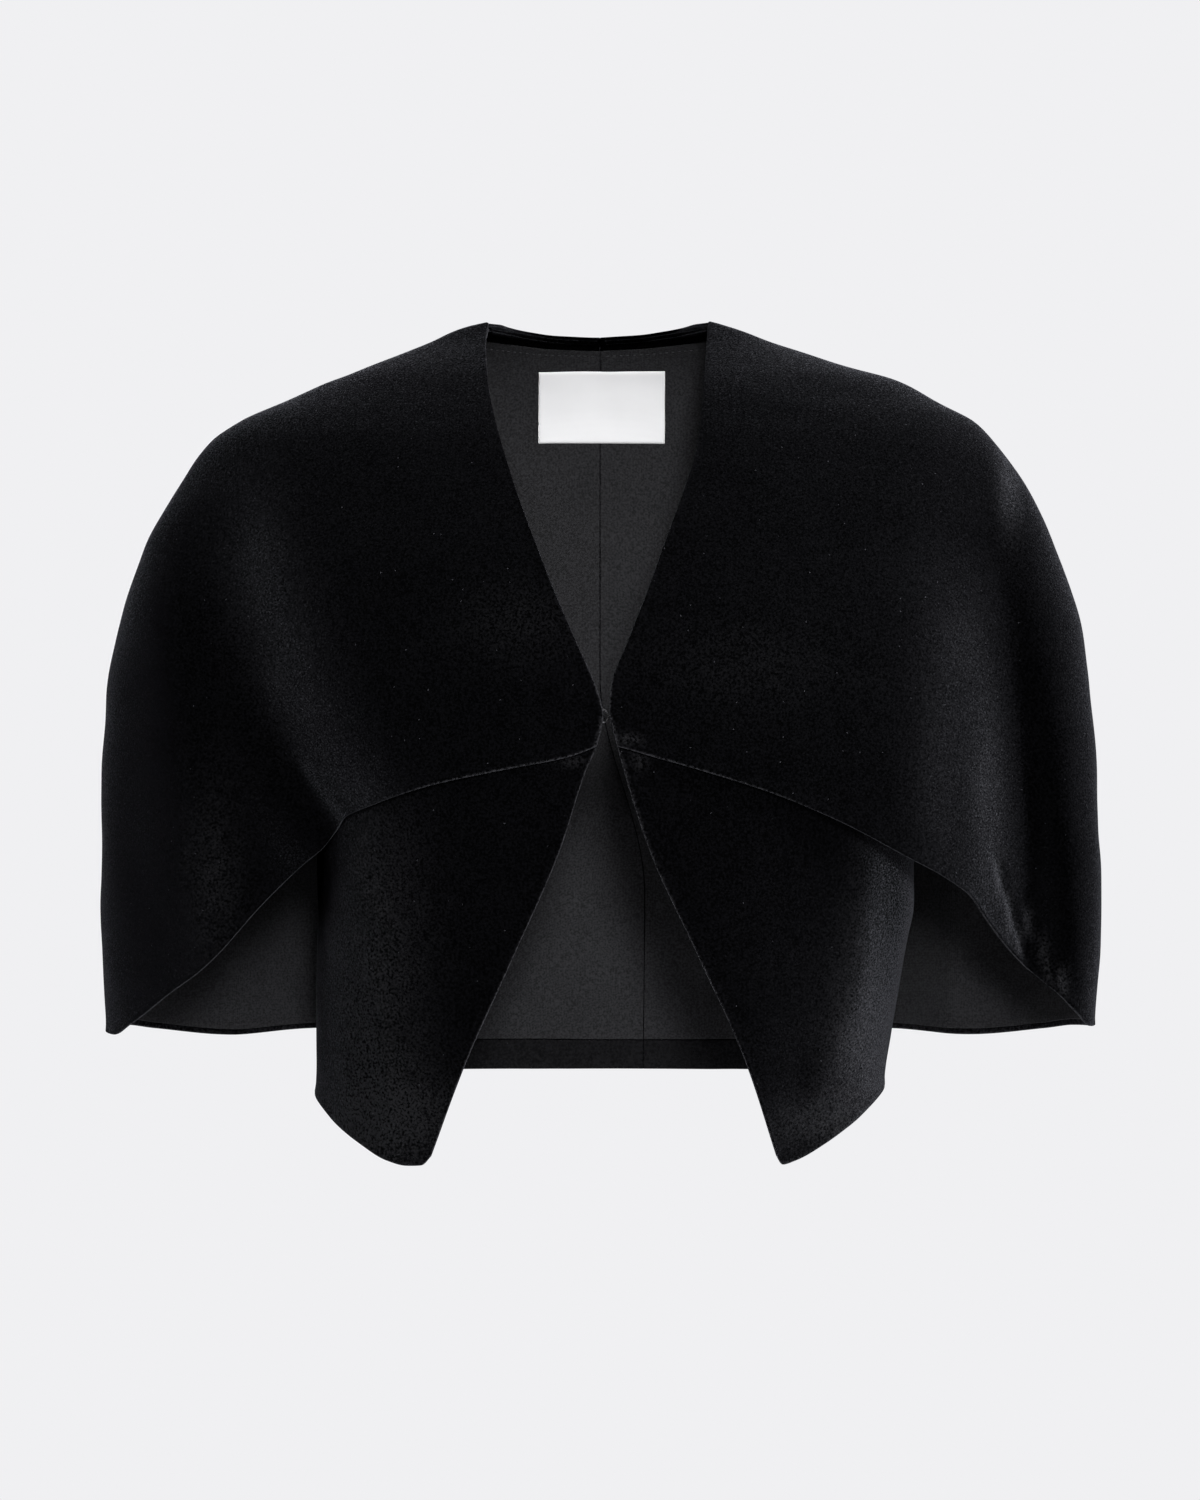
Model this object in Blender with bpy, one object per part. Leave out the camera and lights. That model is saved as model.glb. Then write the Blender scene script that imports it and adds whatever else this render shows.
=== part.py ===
"""Cropped velvet cape with a vest sewn inside it, filled out as it is worn.

Metres, +Z up, the front towards -Y. The origin is between the two neck points, where the shoulders carry it.
Tables are in millimetres: drop is the distance below the neck points, across the distance from the centre
line towards the side, turn the angle round the body: 0 at the centre front, 90 at the side, 180 at the back.
"""

import math

import bpy
import numpy as np
from mathutils import Vector
from mathutils.bvhtree import BVHTree

# Cloth walls and the gaps between them
MM = 0.001
VELVET_WALL = 2.0
LINING_WALL = 1.0
FACING_WALL = 1.2
LABEL_WALL = 1.0
SEAM_GAP = 0.3
LAYER_GAP = 0.5

# Room that the vest keeps under the cape: least at the sewn V edge, more towards the shoulder's end
UNDER_GAP = 0.8
UNDER_GAP_FROM = 75.0
UNDER_GAP_RISE = 0.03
STEEPEST = 12.0

# Grid of each panel, and how much its lines crowd towards the neck or the side
CAPE_FRONT_COLUMNS = 28
CAPE_FRONT_ROWS = 18
CAPE_FRONT_CROWDING = 1.2
CAPE_BACK_COLUMNS = 14
CAPE_BACK_ROWS = 16
CAPE_BACK_CROWDING = 1.5
VEST_FRONT_COLUMNS = 12
VEST_FRONT_ROWS = 17
VEST_BACK_COLUMNS = 10
VEST_BACK_ROWS = 15
VEST_BACK_CROWDING = 1.3
LABEL_COLUMNS = 8
LABEL_ROWS = 4
CHART_STEP = 0.25
SHARP_ANGLE = math.radians(50)

# Turned-up and faced edges, and the label's place
CAPE_HEM_TURN = 3.5
CAPE_LINING_TOP_ROW = 5
NECK_FACING_DEEP = 3.0
HEM_FACING_DEEP = 18.0
LABEL_ACROSS = (-39.0, 41.0)
LABEL_DROP = (23.0, 68.0)

# Hook and eye
WIRE_RADIUS = 0.5
WIRE_SIDES = 8
CLASP_DROP = 241.0
EYE_HALF_WIDE = 2.7
EYE_HALF_HIGH = 3.7
EYE_POINTS = 16
HOOK_LONG = 9.0
HOOK_TIP = 0.4
HOOK_POINTS = 7
WIRE_LEVEL = (0.13, 0.97, 0.21)


def table(columns, *rows):
    """Rows of numbers as one array for each named column."""
    names = columns.split()
    return {name: np.array([row[i] for row in rows], float) for i, name in enumerate(names)}


CAPE_FORM = table(
    "drop left right front back square_front square_back",
    (0, 68, 66, 8, 22, 2.0, 2.0),
    (1, 76, 71, 9, 43, 2.0, 2.0),
    (3, 84, 78, 11, 53, 2.0, 2.0),
    (7, 94, 90, 15.5, 60, 2.0, 2.0),
    (11, 102, 101, 20, 66, 2.0, 1.95),
    (23, 130, 139, 34, 77, 2.0, 1.9),
    (35, 160, 178, 46, 84, 2.0, 1.9),
    (48, 189, 204, 56, 89, 2.05, 1.9),
    (60, 218, 228, 64, 93, 2.1, 1.95),
    (72, 237, 240, 72, 96, 2.15, 2.0),
    (96, 254, 257, 84, 102, 2.2, 2.1),
    (133, 275, 275, 99, 108, 2.3, 2.2),
    (182, 292, 292, 115, 112, 2.35, 2.3),
    (231, 301, 299, 124, 114, 2.4, 2.3),
    (292, 303, 303, 127, 114, 2.5, 2.3),
    (365, 303.5, 305, 125, 113, 2.6, 2.3),
    (440, 300, 300, 121, 112, 2.6, 2.3),
)

VEST_FORM = table(
    "drop left right front back square_front square_back",
    (3, 67, 65, 6, 19, 2.0, 2.0),
    (4, 71, 69, 7, 40, 2.0, 2.0),
    (6, 77, 75, 9, 50, 2.0, 2.0),
    (10, 89, 88, 14, 57, 2.0, 2.0),
    (14, 99, 98, 19, 63, 2.0, 1.95),
    (26, 128, 135, 33, 73, 2.0, 1.9),
    (38, 156, 168, 45, 80, 2.0, 1.9),
    (55, 178, 188, 58, 87, 2.2, 2.0),
    (80, 188, 198, 74, 93, 2.4, 2.2),
    (120, 186, 198, 92.5, 98, 2.6, 2.4),
    (180, 178, 192, 111.5, 101, 2.8, 2.5),
    (231, 174, 190, 121, 102, 2.9, 2.6),
    (300, 172, 191, 123, 101, 3.0, 2.6),
    (350, 172, 190, 122, 99, 3.0, 2.6),
    (400, 172, 183, 120, 97, 3.0, 2.6),
    (460, 173, 173, 116, 95, 3.0, 2.6),
    (510, 173, 172, 112, 94, 3.0, 2.6),
)

# Edge of the V from the neck point down to the clasp, and on to the corner of the cape
V_EDGE = table(
    "drop left right",
    (0, 68, 66),
    (10, 69.5, 65),
    (38, 67.5, 62.5),
    (64, 62.5, 60.5),
    (82, 57.5, 57.5),
    (110, 48.5, 48.5),
    (140, 37.5, 37.5),
    (168, 26.5, 27.5),
    (196, 14.5, 16.5),
    (226, 1.5, 6),
    (239, -2, 5.5),
)
CAPE_CORNER = table("drop left right", (239, -2, 5.5), (249, -0.5, 7.5), (259, 2, 10))

# Lower edge of the cape from the corner at the centre out to the side
LOWER_EDGE = {
    "left": table(
        "across drop",
        (2, 259),
        (18, 265),
        (53, 272),
        (100, 282),
        (135, 294),
        (153, 302.5),
        (157, 309),
        (164, 319),
        (175, 328.5),
        (200, 353),
        (213, 367.5),
        (225, 381),
        (237, 392),
        (255, 405),
        (283, 426),
        (294, 432.5),
        (310, 431),
    ),
    "right": table(
        "across drop",
        (10, 259),
        (24, 263),
        (59, 273),
        (100, 286),
        (141, 303),
        (180, 323.5),
        (205, 337),
        (221, 348.5),
        (231, 362.5),
        (247.5, 383),
        (262, 397),
        (276, 409),
        (288, 420),
        (296, 427.5),
        (310, 429.5),
    ),
}

# Edges that run round the back from the centre to the side
CAPE_NECK = table("turn drop", (180, 4.5), (163, 3.8), (148, 2.3), (120, 0.3), (90, 0))
CAPE_BACK_HEM = table(
    "turn drop",
    (180, 434),
    (165, 434.5),
    (145, 435.5),
    (133, 438),
    (115, 433.5),
    (105, 430.5),
    (90, 429.5),
)
VEST_NECK = table("turn drop", (180, 7.5), (163, 6.8), (148, 5.4), (120, 3.7), (90, 3))
VEST_BACK_HEM_DROP = 461.0
SHOULDER_END = 34.0

# Free edge of each vest front, its hem, and the armholes from the shoulder down to the side seam
VEST_EDGE = table(
    "drop left right",
    (259, 2, 10),
    (270, 7, 13),
    (320, 23.5, 29),
    (385, 52, 59),
    (445, 79, 86),
    (501, 100, 105),
)
VEST_HEM = {
    "left": table(
        "across drop",
        (100, 501),
        (106, 506.5),
        (115, 507),
        (126.5, 504.5),
        (143, 495.5),
        (158, 484.5),
        (167, 475.5),
        (180, 463),
    ),
    "right": table(
        "across drop",
        (105, 501),
        (109, 506.5),
        (116, 504.5),
        (134, 494.5),
        (150.5, 483),
        (160, 475),
        (180, 460),
    ),
}
ARMHOLE = table(
    "front_turn back_turn drop",
    (90, 90, 34),
    (68, 108, 40),
    (57, 120, 50),
    (47, 127, 85),
    (46, 128, 120),
    (48, 126, 160),
    (56, 119, 193),
    (71, 107, 212),
    (90, 90, 219),
)

# Centre back seam of the vest, which swings to the right below the waist
VEST_SEAM = table("drop across", (0, 0), (215, 0), (350, 28), (470, 27))

# Large folds, from their top end to their bottom end: a trough has a depth above zero, a ridge below it.
# Bow is how far the middle swings out, inward and outward are the half widths on the two sides.
FOLD_COLUMNS = "across0 drop0 across1 drop1 bow inward outward depth0 depth1"
FOLDS = {
    ("cape", "front", "left"): table(
        FOLD_COLUMNS,
        (231, 110, 162, 312, 14, 48, 38, 5, 27),
        (222, 300, 240, 420, 0, 16, 16, 0, -2),
    ),
    ("cape", "front", "right"): table(
        FOLD_COLUMNS,
        (229, 120, 254, 350, 5, 56, 26, 4, 13),
        (229, 120, 254, 350, 5, 25, 18, 2, 9),
    ),
    ("cape", "back", "left"): table(
        FOLD_COLUMNS,
        (205, 120, 225, 440, 0, 34, 28, 4, 18),
        (95, 150, 120, 440, 0, 30, 36, 1, 9),
    ),
    ("cape", "back", "right"): table(
        FOLD_COLUMNS,
        (210, 120, 220, 440, 0, 30, 30, 4, 16),
        (105, 140, 100, 440, 0, 34, 30, 1, 10),
    ),
    ("vest", "front", "left"): table(FOLD_COLUMNS, (118, 320, 128, 505, 0, 24, 24, 0, 4)),
    ("vest", "front", "right"): table(FOLD_COLUMNS, (128, 330, 122, 505, 0, 26, 30, 0, 6)),
    ("vest", "back", "left"): table(FOLD_COLUMNS, (95, 260, 100, 460, 0, 30, 30, 0, -4)),
    ("vest", "back", "right"): table(FOLD_COLUMNS, (105, 270, 95, 460, 0, 30, 30, 0, -4)),
}
FOLD_START = (-0.25, 0.15)
FOLD_END_TURN = {"front": 72, "back": 108}
FOLD_WAY = {"front": 1, "back": -1}

# Each kind of surface: colour, roughness, metallic
FINISHES = {
    "velvet": ((0.006, 0.006, 0.008, 1.0), 0.85, 0.0),
    "lining": ((0.022, 0.022, 0.026, 1.0), 0.75, 0.0),
    "label": ((0.8, 0.8, 0.8, 1.0), 0.7, 0.0),
    "wire": ((0.02, 0.02, 0.022, 1.0), 0.35, 1.0),
}
FORMS = {"cape": CAPE_FORM, "vest": VEST_FORM}
SIGN = {"left": -1.0, "right": 1.0}


def smooth(at, xs, ys):
    """Cubic through the points, with no bump between two rows, held level beyond its ends."""
    step = np.diff(xs)
    slope = np.diff(ys) / step
    tangent = np.concatenate([slope[:1], np.zeros(len(step) - 1), slope[-1:]])
    for i in range(1, len(step)):
        if slope[i - 1] * slope[i] > 0:
            near = 2 * step[i] + step[i - 1]
            far = step[i] + 2 * step[i - 1]
            tangent[i] = (near + far) / (near / slope[i - 1] + far / slope[i])
    at = np.asarray(at, float)
    i = np.clip(np.searchsorted(xs, at) - 1, 0, len(step) - 1)
    t = np.clip((at - xs[i]) / step[i], 0, 1)
    rise = (ys[i + 1] - ys[i]) * (3 - 2 * t) * t * t
    return ys[i] + rise + step[i] * t * (1 - t) * (tangent[i] * (1 - t) - tangent[i + 1] * t)


def ease(low, high, at):
    """0 at low and 1 at high, with level ends."""
    t = np.clip((at - low) / (high - low), 0, 1)
    return t * t * (3 - 2 * t)


def form_sizes(form, side, drop):
    names = (side, "front", "back", "square_front", "square_back")
    return {name: smooth(drop, form["drop"], form[name]) for name in names}


def form_point(form, side, turn, drop):
    """Point on the filled-out form, with X as the distance across: add_wall mirrors the left side."""
    size = form_sizes(form, side, drop)
    sine = np.sin(np.radians(turn))
    cosine = np.cos(np.radians(turn))
    power = 2 / np.where(cosine >= 0, size["square_front"], size["square_back"])
    deep = np.where(cosine >= 0, size["front"], size["back"])
    x = size[side] * np.sign(sine) * np.abs(sine) ** power
    y = -deep * np.sign(cosine) * np.abs(cosine) ** power
    return np.stack([x, y, -np.asarray(drop, float) + 0 * x], axis=-1)


def turn_at(form, side, across, drop, back=False):
    """Turn at which the form has this distance across."""
    size = form_sizes(form, side, drop)
    ratio = np.clip(across / size[side], -1, 1)
    square = size["square_back" if back else "square_front"]
    turn = np.degrees(np.arcsin(np.sign(ratio) * np.abs(ratio) ** (square / 2)))
    return 180 - turn if back else turn


def fold_depth(rows, across, drop):
    """How far the folds move a point of the cloth in towards the body."""
    total = 0 * across
    for i in range(len(rows["drop0"])):
        row = {name: rows[name][i] for name in rows}
        along = (drop - row["drop0"]) / (row["drop1"] - row["drop0"])
        axis = row["across0"] + (row["across1"] - row["across0"]) * along
        away = across - axis - 4 * row["bow"] * along * (1 - along)
        width = np.where(away < 0, row["inward"], row["outward"])
        depth = row["depth0"] + (row["depth1"] - row["depth0"]) * np.clip(along, 0, 1)
        total = total + depth * ease(*FOLD_START, along) * np.exp(-((away / width) ** 2))
    return total


def cape_depth(side, across, drop, back):
    """Distance of the cape's outside in front of the side line, or behind it."""
    size = form_sizes(CAPE_FORM, side, drop)
    square = np.where(back, size["square_back"], size["square_front"])
    ratio = np.clip(np.abs(across) / size[side], 0, 1)
    return np.where(back, size["back"], size["front"]) * (1 - ratio**square) ** (1 / square)


def under_cape(side, point):
    """The point, moved in where it lies nearer to the outside of the cape than the cape's wall and seam."""
    across = point[..., 0]
    drop = -point[..., 2]
    back = point[..., 1] > 0
    slope_across = cape_depth(side, across + 1, drop, back) - cape_depth(side, across - 1, drop, back)
    slope_down = cape_depth(side, across, drop + 1, back) - cape_depth(side, across, drop - 1, back)
    steep = np.minimum(np.sqrt(1 + (slope_across**2 + slope_down**2) / 4), STEEPEST)
    room = VELVET_WALL + UNDER_GAP + UNDER_GAP_RISE * np.maximum(across - UNDER_GAP_FROM, 0)
    limit = np.maximum(cape_depth(side, across, drop, back) - room * steep, 0)
    kept = np.minimum(np.abs(point[..., 1]), limit)
    return np.stack([across, np.where(back, kept, -kept), point[..., 2]], axis=-1)


class Drape:
    """One side of the cape or the vest as a surface over turn and drop."""

    def __init__(self, garment, side):
        self.garment = garment
        self.side = side
        self.form = FORMS[garment]

    def plain(self, turn, drop):
        return form_point(self.form, self.side, turn, drop)

    def folded(self, turn, drop):
        point = self.plain(turn, drop)
        for face, end_turn in FOLD_END_TURN.items():
            rows = FOLDS[self.garment, face, self.side]
            depth = fold_depth(rows, point[..., 0], -point[..., 2]) * ease(90, end_turn, turn)
            point[..., 1] += FOLD_WAY[face] * depth
        return point

    def layer(self, chart, depth, wall):
        """Outer and inner points of a layer that lies this deep inside the surface."""
        turn = chart[..., 0]
        drop = chart[..., 1]
        point = self.folded(turn, drop)
        if self.garment == "vest":
            point = under_cape(self.side, point)
        normal = outward(self.folded, turn, drop)
        return [point - normal * depth, point - normal * (depth + wall)]

    def line(self, across_and_drop, back=False):
        """A line of across and drop turned into turn and drop."""

        def at(t):
            across, drop = np.moveaxis(across_and_drop(t), -1, 0)
            return np.stack([turn_at(self.form, self.side, across, drop, back), drop], axis=-1)

        return at


def outward(surface, turn, drop):
    """Unit normals that point away from the body."""
    round_step = surface(turn + CHART_STEP, drop) - surface(turn - CHART_STEP, drop)
    down_step = surface(turn, drop + CHART_STEP) - surface(turn, drop - CHART_STEP)
    normal = np.cross(down_step, round_step)
    return normal / np.linalg.norm(normal, axis=-1, keepdims=True)


def path(first, second):
    """Smooth line through the points of two columns, as a function of 0 to 1 along its length."""
    points = np.stack([first, second], axis=-1).astype(float)
    along = np.concatenate([[0], np.cumsum(np.hypot(*np.diff(points, axis=0).T))])
    along = along / along[-1]

    def at(t):
        return np.stack([smooth(t, along, points[:, 0]), smooth(t, along, points[:, 1])], axis=-1)

    return at


def side_line(top, bottom):
    return path([90, 90], [top, bottom])


def patch(top, bottom, inner, outer, p, q):
    """Chart points inside four edges: top and bottom run from the inner edge to the outer one."""
    column = p[None, :, None]
    row = q[:, None, None]
    across = (1 - row) * top(p)[None] + row * bottom(p)[None]
    down = (1 - column) * inner(q)[:, None] + column * outer(q)[:, None]
    corners = (1 - row) * ((1 - column) * top(0.0) + column * top(1.0))
    corners = corners + row * ((1 - column) * bottom(0.0) + column * bottom(1.0))
    return across + down - corners


def even(count):
    return np.linspace(0, 1, count + 1)


def keep_front(layer):
    """Front panels stop half a seam gap before the side line."""
    for grid in layer:
        grid[..., 1] = np.minimum(grid[..., 1], -SEAM_GAP / 2)
    return layer


def keep_back(layer, seam):
    """Back panels stop half a seam gap after the side line and before the centre back seam."""
    for grid in layer:
        grid[:, 0, 0] = seam(-grid[:, 0, 2]) + SEAM_GAP / 2
        grid[..., 1] = np.maximum(grid[..., 1], SEAM_GAP / 2)
    return layer


def finish(name, kind):
    """Material of its own for each object."""
    colour, roughness, metallic = FINISHES[kind]
    made = bpy.data.materials.new(f"{name}_{kind}")
    made.use_nodes = True
    shader = made.node_tree.nodes["Principled BSDF"]
    shader.inputs["Base Color"].default_value = colour
    shader.inputs["Roughness"].default_value = roughness
    shader.inputs["Metallic"].default_value = metallic
    made.diffuse_color = colour
    return made


def volume(points, faces):
    """Six times the volume inside the faces, below zero where they point inwards."""
    total = 0.0
    for face in faces:
        for i in range(1, len(face) - 1):
            total += np.dot(points[face[0]], np.cross(points[face[i]], points[face[i + 1]]))
    return total


def add_mesh(name, kind, points, faces):
    """Object from points in millimetres, with its faces turned outwards."""
    points = np.asarray(points, float)
    if volume(points, faces) < 0:
        faces = [tuple(reversed(face)) for face in faces]
    mesh = bpy.data.meshes.new(name)
    mesh.from_pydata((points * MM).tolist(), [], faces)
    mesh.materials.append(finish(name, kind))
    mesh.shade_smooth()
    mesh.set_sharp_from_angle(angle=SHARP_ANGLE)
    bpy.context.scene.collection.objects.link(bpy.data.objects.new(name, mesh))


def add_wall(name, kind, side, layer):
    """Closed wall between the outer and the inner grid of one layer, split along the same diagonals."""
    outer, inner = layer
    rows, columns = outer.shape[:2]
    points = np.concatenate([outer.reshape(-1, 3), inner.reshape(-1, 3)])
    points[:, 0] *= SIGN[side]
    count = rows * columns
    faces = []
    for row in range(rows - 1):
        for column in range(columns - 1):
            a = row * columns + column
            b = a + 1
            c = b + columns
            d = a + columns
            for face in ((a, b, c), (a, c, d)):
                faces += [face, tuple(count + corner for corner in reversed(face))]
    index = np.arange(count).reshape(rows, columns).tolist()
    right = [line[-1] for line in index]
    left = [line[0] for line in index]
    rim = index[0][:-1] + right[:-1] + index[-1][:0:-1] + left[:0:-1]
    faces += [(b, a, a + count, b + count) for a, b in zip(rim, rim[1:] + rim[:1])]
    add_mesh(name, kind, points, faces)


def add_wire(name, line, closed):
    """Round wire along a line of points."""
    line = np.asarray(line, float)
    rings = len(line)
    around = np.arange(WIRE_SIDES) * 2 * math.pi / WIRE_SIDES
    points = []
    for i in range(rings):
        before = line[i - 1] if closed or i else line[i]
        after = line[(i + 1) % rings] if closed or i < rings - 1 else line[i]
        ahead = Vector(after - before).normalized()
        level = ahead.cross(Vector(WIRE_LEVEL)).normalized()
        upright = ahead.cross(level)
        for angle in around:
            spoke = math.cos(angle) * level + math.sin(angle) * upright
            points.append(Vector(line[i]) + WIRE_RADIUS * spoke)
    faces = []
    for i in range(rings if closed else rings - 1):
        here = i * WIRE_SIDES
        there = (i + 1) % rings * WIRE_SIDES
        for k in range(WIRE_SIDES):
            after = (k + 1) % WIRE_SIDES
            faces.append((here + k, here + after, there + after, there + k))
    if not closed:
        faces.append(tuple(reversed(range(WIRE_SIDES))))
        faces.append(tuple(range(len(points) - WIRE_SIDES, len(points))))
    add_mesh(name, "wire", points, faces)


def add_cape_front(side):
    drape = Drape("cape", side)
    lower = LOWER_EDGE[side]
    chart = patch(
        drape.line(path(V_EDGE[side][::-1], V_EDGE["drop"][::-1])),
        drape.line(path(lower["across"], lower["drop"])),
        drape.line(path(CAPE_CORNER[side], CAPE_CORNER["drop"])),
        side_line(0, lower["drop"][-1]),
        1 - even(CAPE_FRONT_COLUMNS)[::-1] ** CAPE_FRONT_CROWDING,
        even(CAPE_FRONT_ROWS) ** CAPE_FRONT_CROWDING,
    )
    add_wall(f"cape_front_{side}", "velvet", side, keep_front(drape.layer(chart, 0, VELVET_WALL)))


def add_cape_back(side):
    """Back panel, and the lining that stops short of its turned-up hem."""
    drape = Drape("cape", side)
    neck = CAPE_NECK["drop"]
    hem = CAPE_BACK_HEM["drop"]
    lined = 1 - CAPE_HEM_TURN / (hem[0] - neck[0])
    chart = patch(
        path(CAPE_NECK["turn"], neck),
        path(CAPE_BACK_HEM["turn"], hem),
        path([180, 180], [neck[0], hem[0]]),
        side_line(neck[-1], hem[-1]),
        even(CAPE_BACK_COLUMNS),
        np.append(lined * even(CAPE_BACK_ROWS - 1) ** CAPE_BACK_CROWDING, 1),
    )
    velvet = drape.layer(chart, 0, VELVET_WALL)
    lining = drape.layer(chart[CAPE_LINING_TOP_ROW:-1], VELVET_WALL + SEAM_GAP, LINING_WALL)
    add_wall(f"cape_back_{side}", "velvet", side, keep_back(velvet, np.zeros_like))
    add_wall(f"cape_lining_{side}", "lining", side, keep_back(lining, np.zeros_like))


def add_vest_front(side):
    """Vest front, whose V edge starts a little below the cape's and joins it at the clasp."""
    drape = Drape("vest", side)
    hem = VEST_HEM[side]
    top = VEST_FORM["drop"][0]
    v_drop = V_EDGE["drop"] + top * (1 - V_EDGE["drop"] / V_EDGE["drop"][-1])
    edge_across = np.append(V_EDGE[side], VEST_EDGE[side])
    edge_drop = np.append(v_drop, VEST_EDGE["drop"])
    side_turn = np.append(ARMHOLE["front_turn"], 90)
    side_drop = np.append(ARMHOLE["drop"], hem["drop"][-1])
    chart = patch(
        side_line(top, SHOULDER_END),
        drape.line(path(hem["across"], hem["drop"])),
        drape.line(path(edge_across, edge_drop)),
        path(side_turn, side_drop),
        even(VEST_FRONT_COLUMNS),
        even(VEST_FRONT_ROWS),
    )
    add_wall(f"vest_front_{side}", "velvet", side, keep_front(drape.layer(chart, 0, VELVET_WALL)))


def add_vest_back(side):
    """Back panel with the neck facing, the lining and the hem facing that lie on its inside."""
    drape = Drape("vest", side)
    neck_drop = VEST_NECK["drop"][0]
    long = VEST_BACK_HEM_DROP - neck_drop

    def seam(drop):
        return SIGN[side] * smooth(drop, VEST_SEAM["drop"], VEST_SEAM["across"])

    def centre_back(t):
        drop = neck_drop + long * np.asarray(t, float)
        return np.stack([seam(drop), drop], axis=-1)

    centre_line = drape.line(centre_back, back=True)
    first = (NECK_FACING_DEEP + SEAM_GAP) / long
    last = 1 - (HEM_FACING_DEEP + SEAM_GAP) / long
    apart = 2 * SEAM_GAP / long
    lined = first + (last - first) * even(VEST_BACK_ROWS - 1) ** VEST_BACK_CROWDING
    outer_turn = np.concatenate([[90], ARMHOLE["back_turn"], [90]])
    outer_drop = np.concatenate([VEST_NECK["drop"][-1:], ARMHOLE["drop"], [VEST_BACK_HEM_DROP]])
    chart = patch(
        path(VEST_NECK["turn"], VEST_NECK["drop"]),
        path([centre_line(1.0)[0], 90], [VEST_BACK_HEM_DROP, VEST_BACK_HEM_DROP]),
        centre_line,
        path(outer_turn, outer_drop),
        even(VEST_BACK_COLUMNS),
        np.concatenate([[0, first - apart], lined, [last + apart, 1]]),
    )
    inside = VELVET_WALL + LAYER_GAP
    layers = (
        ("vest_back", "velvet", chart, 0, VELVET_WALL),
        ("neck_facing", "velvet", chart[:2], inside, FACING_WALL),
        ("vest_lining", "lining", chart[2:-2], inside, LINING_WALL),
        ("hem_facing", "velvet", chart[-2:], inside, FACING_WALL),
    )
    for name, kind, rows, depth, wall in layers:
        add_wall(f"{name}_{side}", kind, side, keep_back(drape.layer(rows, depth, wall), seam))


def inside_of_lining(across, drop):
    """Point of the two back linings that a line from the middle of the body meets first."""
    start = Vector((across, 0, -drop))
    found = []
    for side in SIGN:
        mesh = bpy.data.objects[f"vest_lining_{side}"].data
        faces = [tuple(face.vertices) for face in mesh.polygons]
        tree = BVHTree.FromPolygons([point.co / MM for point in mesh.vertices], faces)
        hit = tree.ray_cast(start, Vector((0, 1, 0)))[0]
        if hit:
            found.append(hit)
    return min(found, key=lambda hit: hit.y)


def add_label():
    """Bare label, made from points of the back linings moved in."""
    drape = Drape("vest", "right")
    across = np.linspace(*LABEL_ACROSS, LABEL_COLUMNS + 1)
    drop = np.linspace(*LABEL_DROP, LABEL_ROWS + 1)
    point = np.array([[inside_of_lining(x, d) for x in across] for d in drop])
    turn = turn_at(VEST_FORM, "right", point[..., 0], -point[..., 2], back=True)
    normal = outward(drape.folded, turn, -point[..., 2])
    layer = [point - normal * SEAM_GAP, point - normal * (SEAM_GAP + LABEL_WALL)]
    add_wall("label", "label", "right", layer)


def add_clasp():
    """Eye on the left front edge and hook on the right one, behind the cloth."""
    cloth = -smooth(CLASP_DROP, VEST_FORM["drop"], VEST_FORM["front"]) + VELVET_WALL
    behind = cloth + 3 * SEAM_GAP + WIRE_RADIUS
    centre = -smooth(CLASP_DROP, V_EDGE["drop"], V_EDGE["left"])
    eye = []
    for i in range(EYE_POINTS):
        angle = i * 2 * math.pi / EYE_POINTS
        across = centre + EYE_HALF_WIDE * math.cos(angle)
        eye.append((across, behind, EYE_HALF_HIGH * math.sin(angle) - CLASP_DROP))
    add_wire("eye", eye, True)
    bar = centre + EYE_HALF_WIDE
    lift = 2 * WIRE_RADIUS + SEAM_GAP
    hook = [(bar + HOOK_TIP, behind - lift, -CLASP_DROP)]
    for angle in np.linspace(math.pi / 2, -math.pi / 2, HOOK_POINTS):
        hook.append((bar - lift * math.cos(angle), behind - lift * math.sin(angle), -CLASP_DROP))
    hook.append((bar + HOOK_LONG, behind + lift, -CLASP_DROP))
    add_wire("hook", hook, False)


def main():
    for found in list(bpy.data.objects):
        bpy.data.objects.remove(found)
    for side in SIGN:
        add_cape_front(side)
        add_cape_back(side)
        add_vest_front(side)
        add_vest_back(side)
    add_label()
    add_clasp()


main()
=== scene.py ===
"""Looks of a cropped velvet cape with a vest sewn inside it.

Each cloth piece is a thin shell on the form of its CAD solid, with finer folds, rolled edges and stitches.
Tables are in millimetres: drop is the distance below the neck points, across the distance from the centre
line towards the side, turn the angle round the body: 0 at the centre front, 90 at the side, 180 at the back.
"""

import math

import bpy
import numpy as np
from bpy.props import FloatProperty, FloatVectorProperty, PointerProperty
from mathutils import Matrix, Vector


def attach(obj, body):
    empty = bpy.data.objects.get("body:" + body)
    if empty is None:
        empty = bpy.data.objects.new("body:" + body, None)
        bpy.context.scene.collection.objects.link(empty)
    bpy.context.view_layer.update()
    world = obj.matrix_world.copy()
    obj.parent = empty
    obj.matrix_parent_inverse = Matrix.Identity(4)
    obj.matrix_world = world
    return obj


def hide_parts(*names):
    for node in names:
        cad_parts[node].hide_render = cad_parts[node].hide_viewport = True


bl_info = {
    "name": "Velvet Cape",
    "version": (1, 0, 0),
    "blender": (4, 5, 0),
    "location": "3D View > Sidebar > Cape",
    "description": "Dresses the solids of a cropped velvet cape with cloth, stitches and studio light",
    "category": "Object",
}

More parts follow.
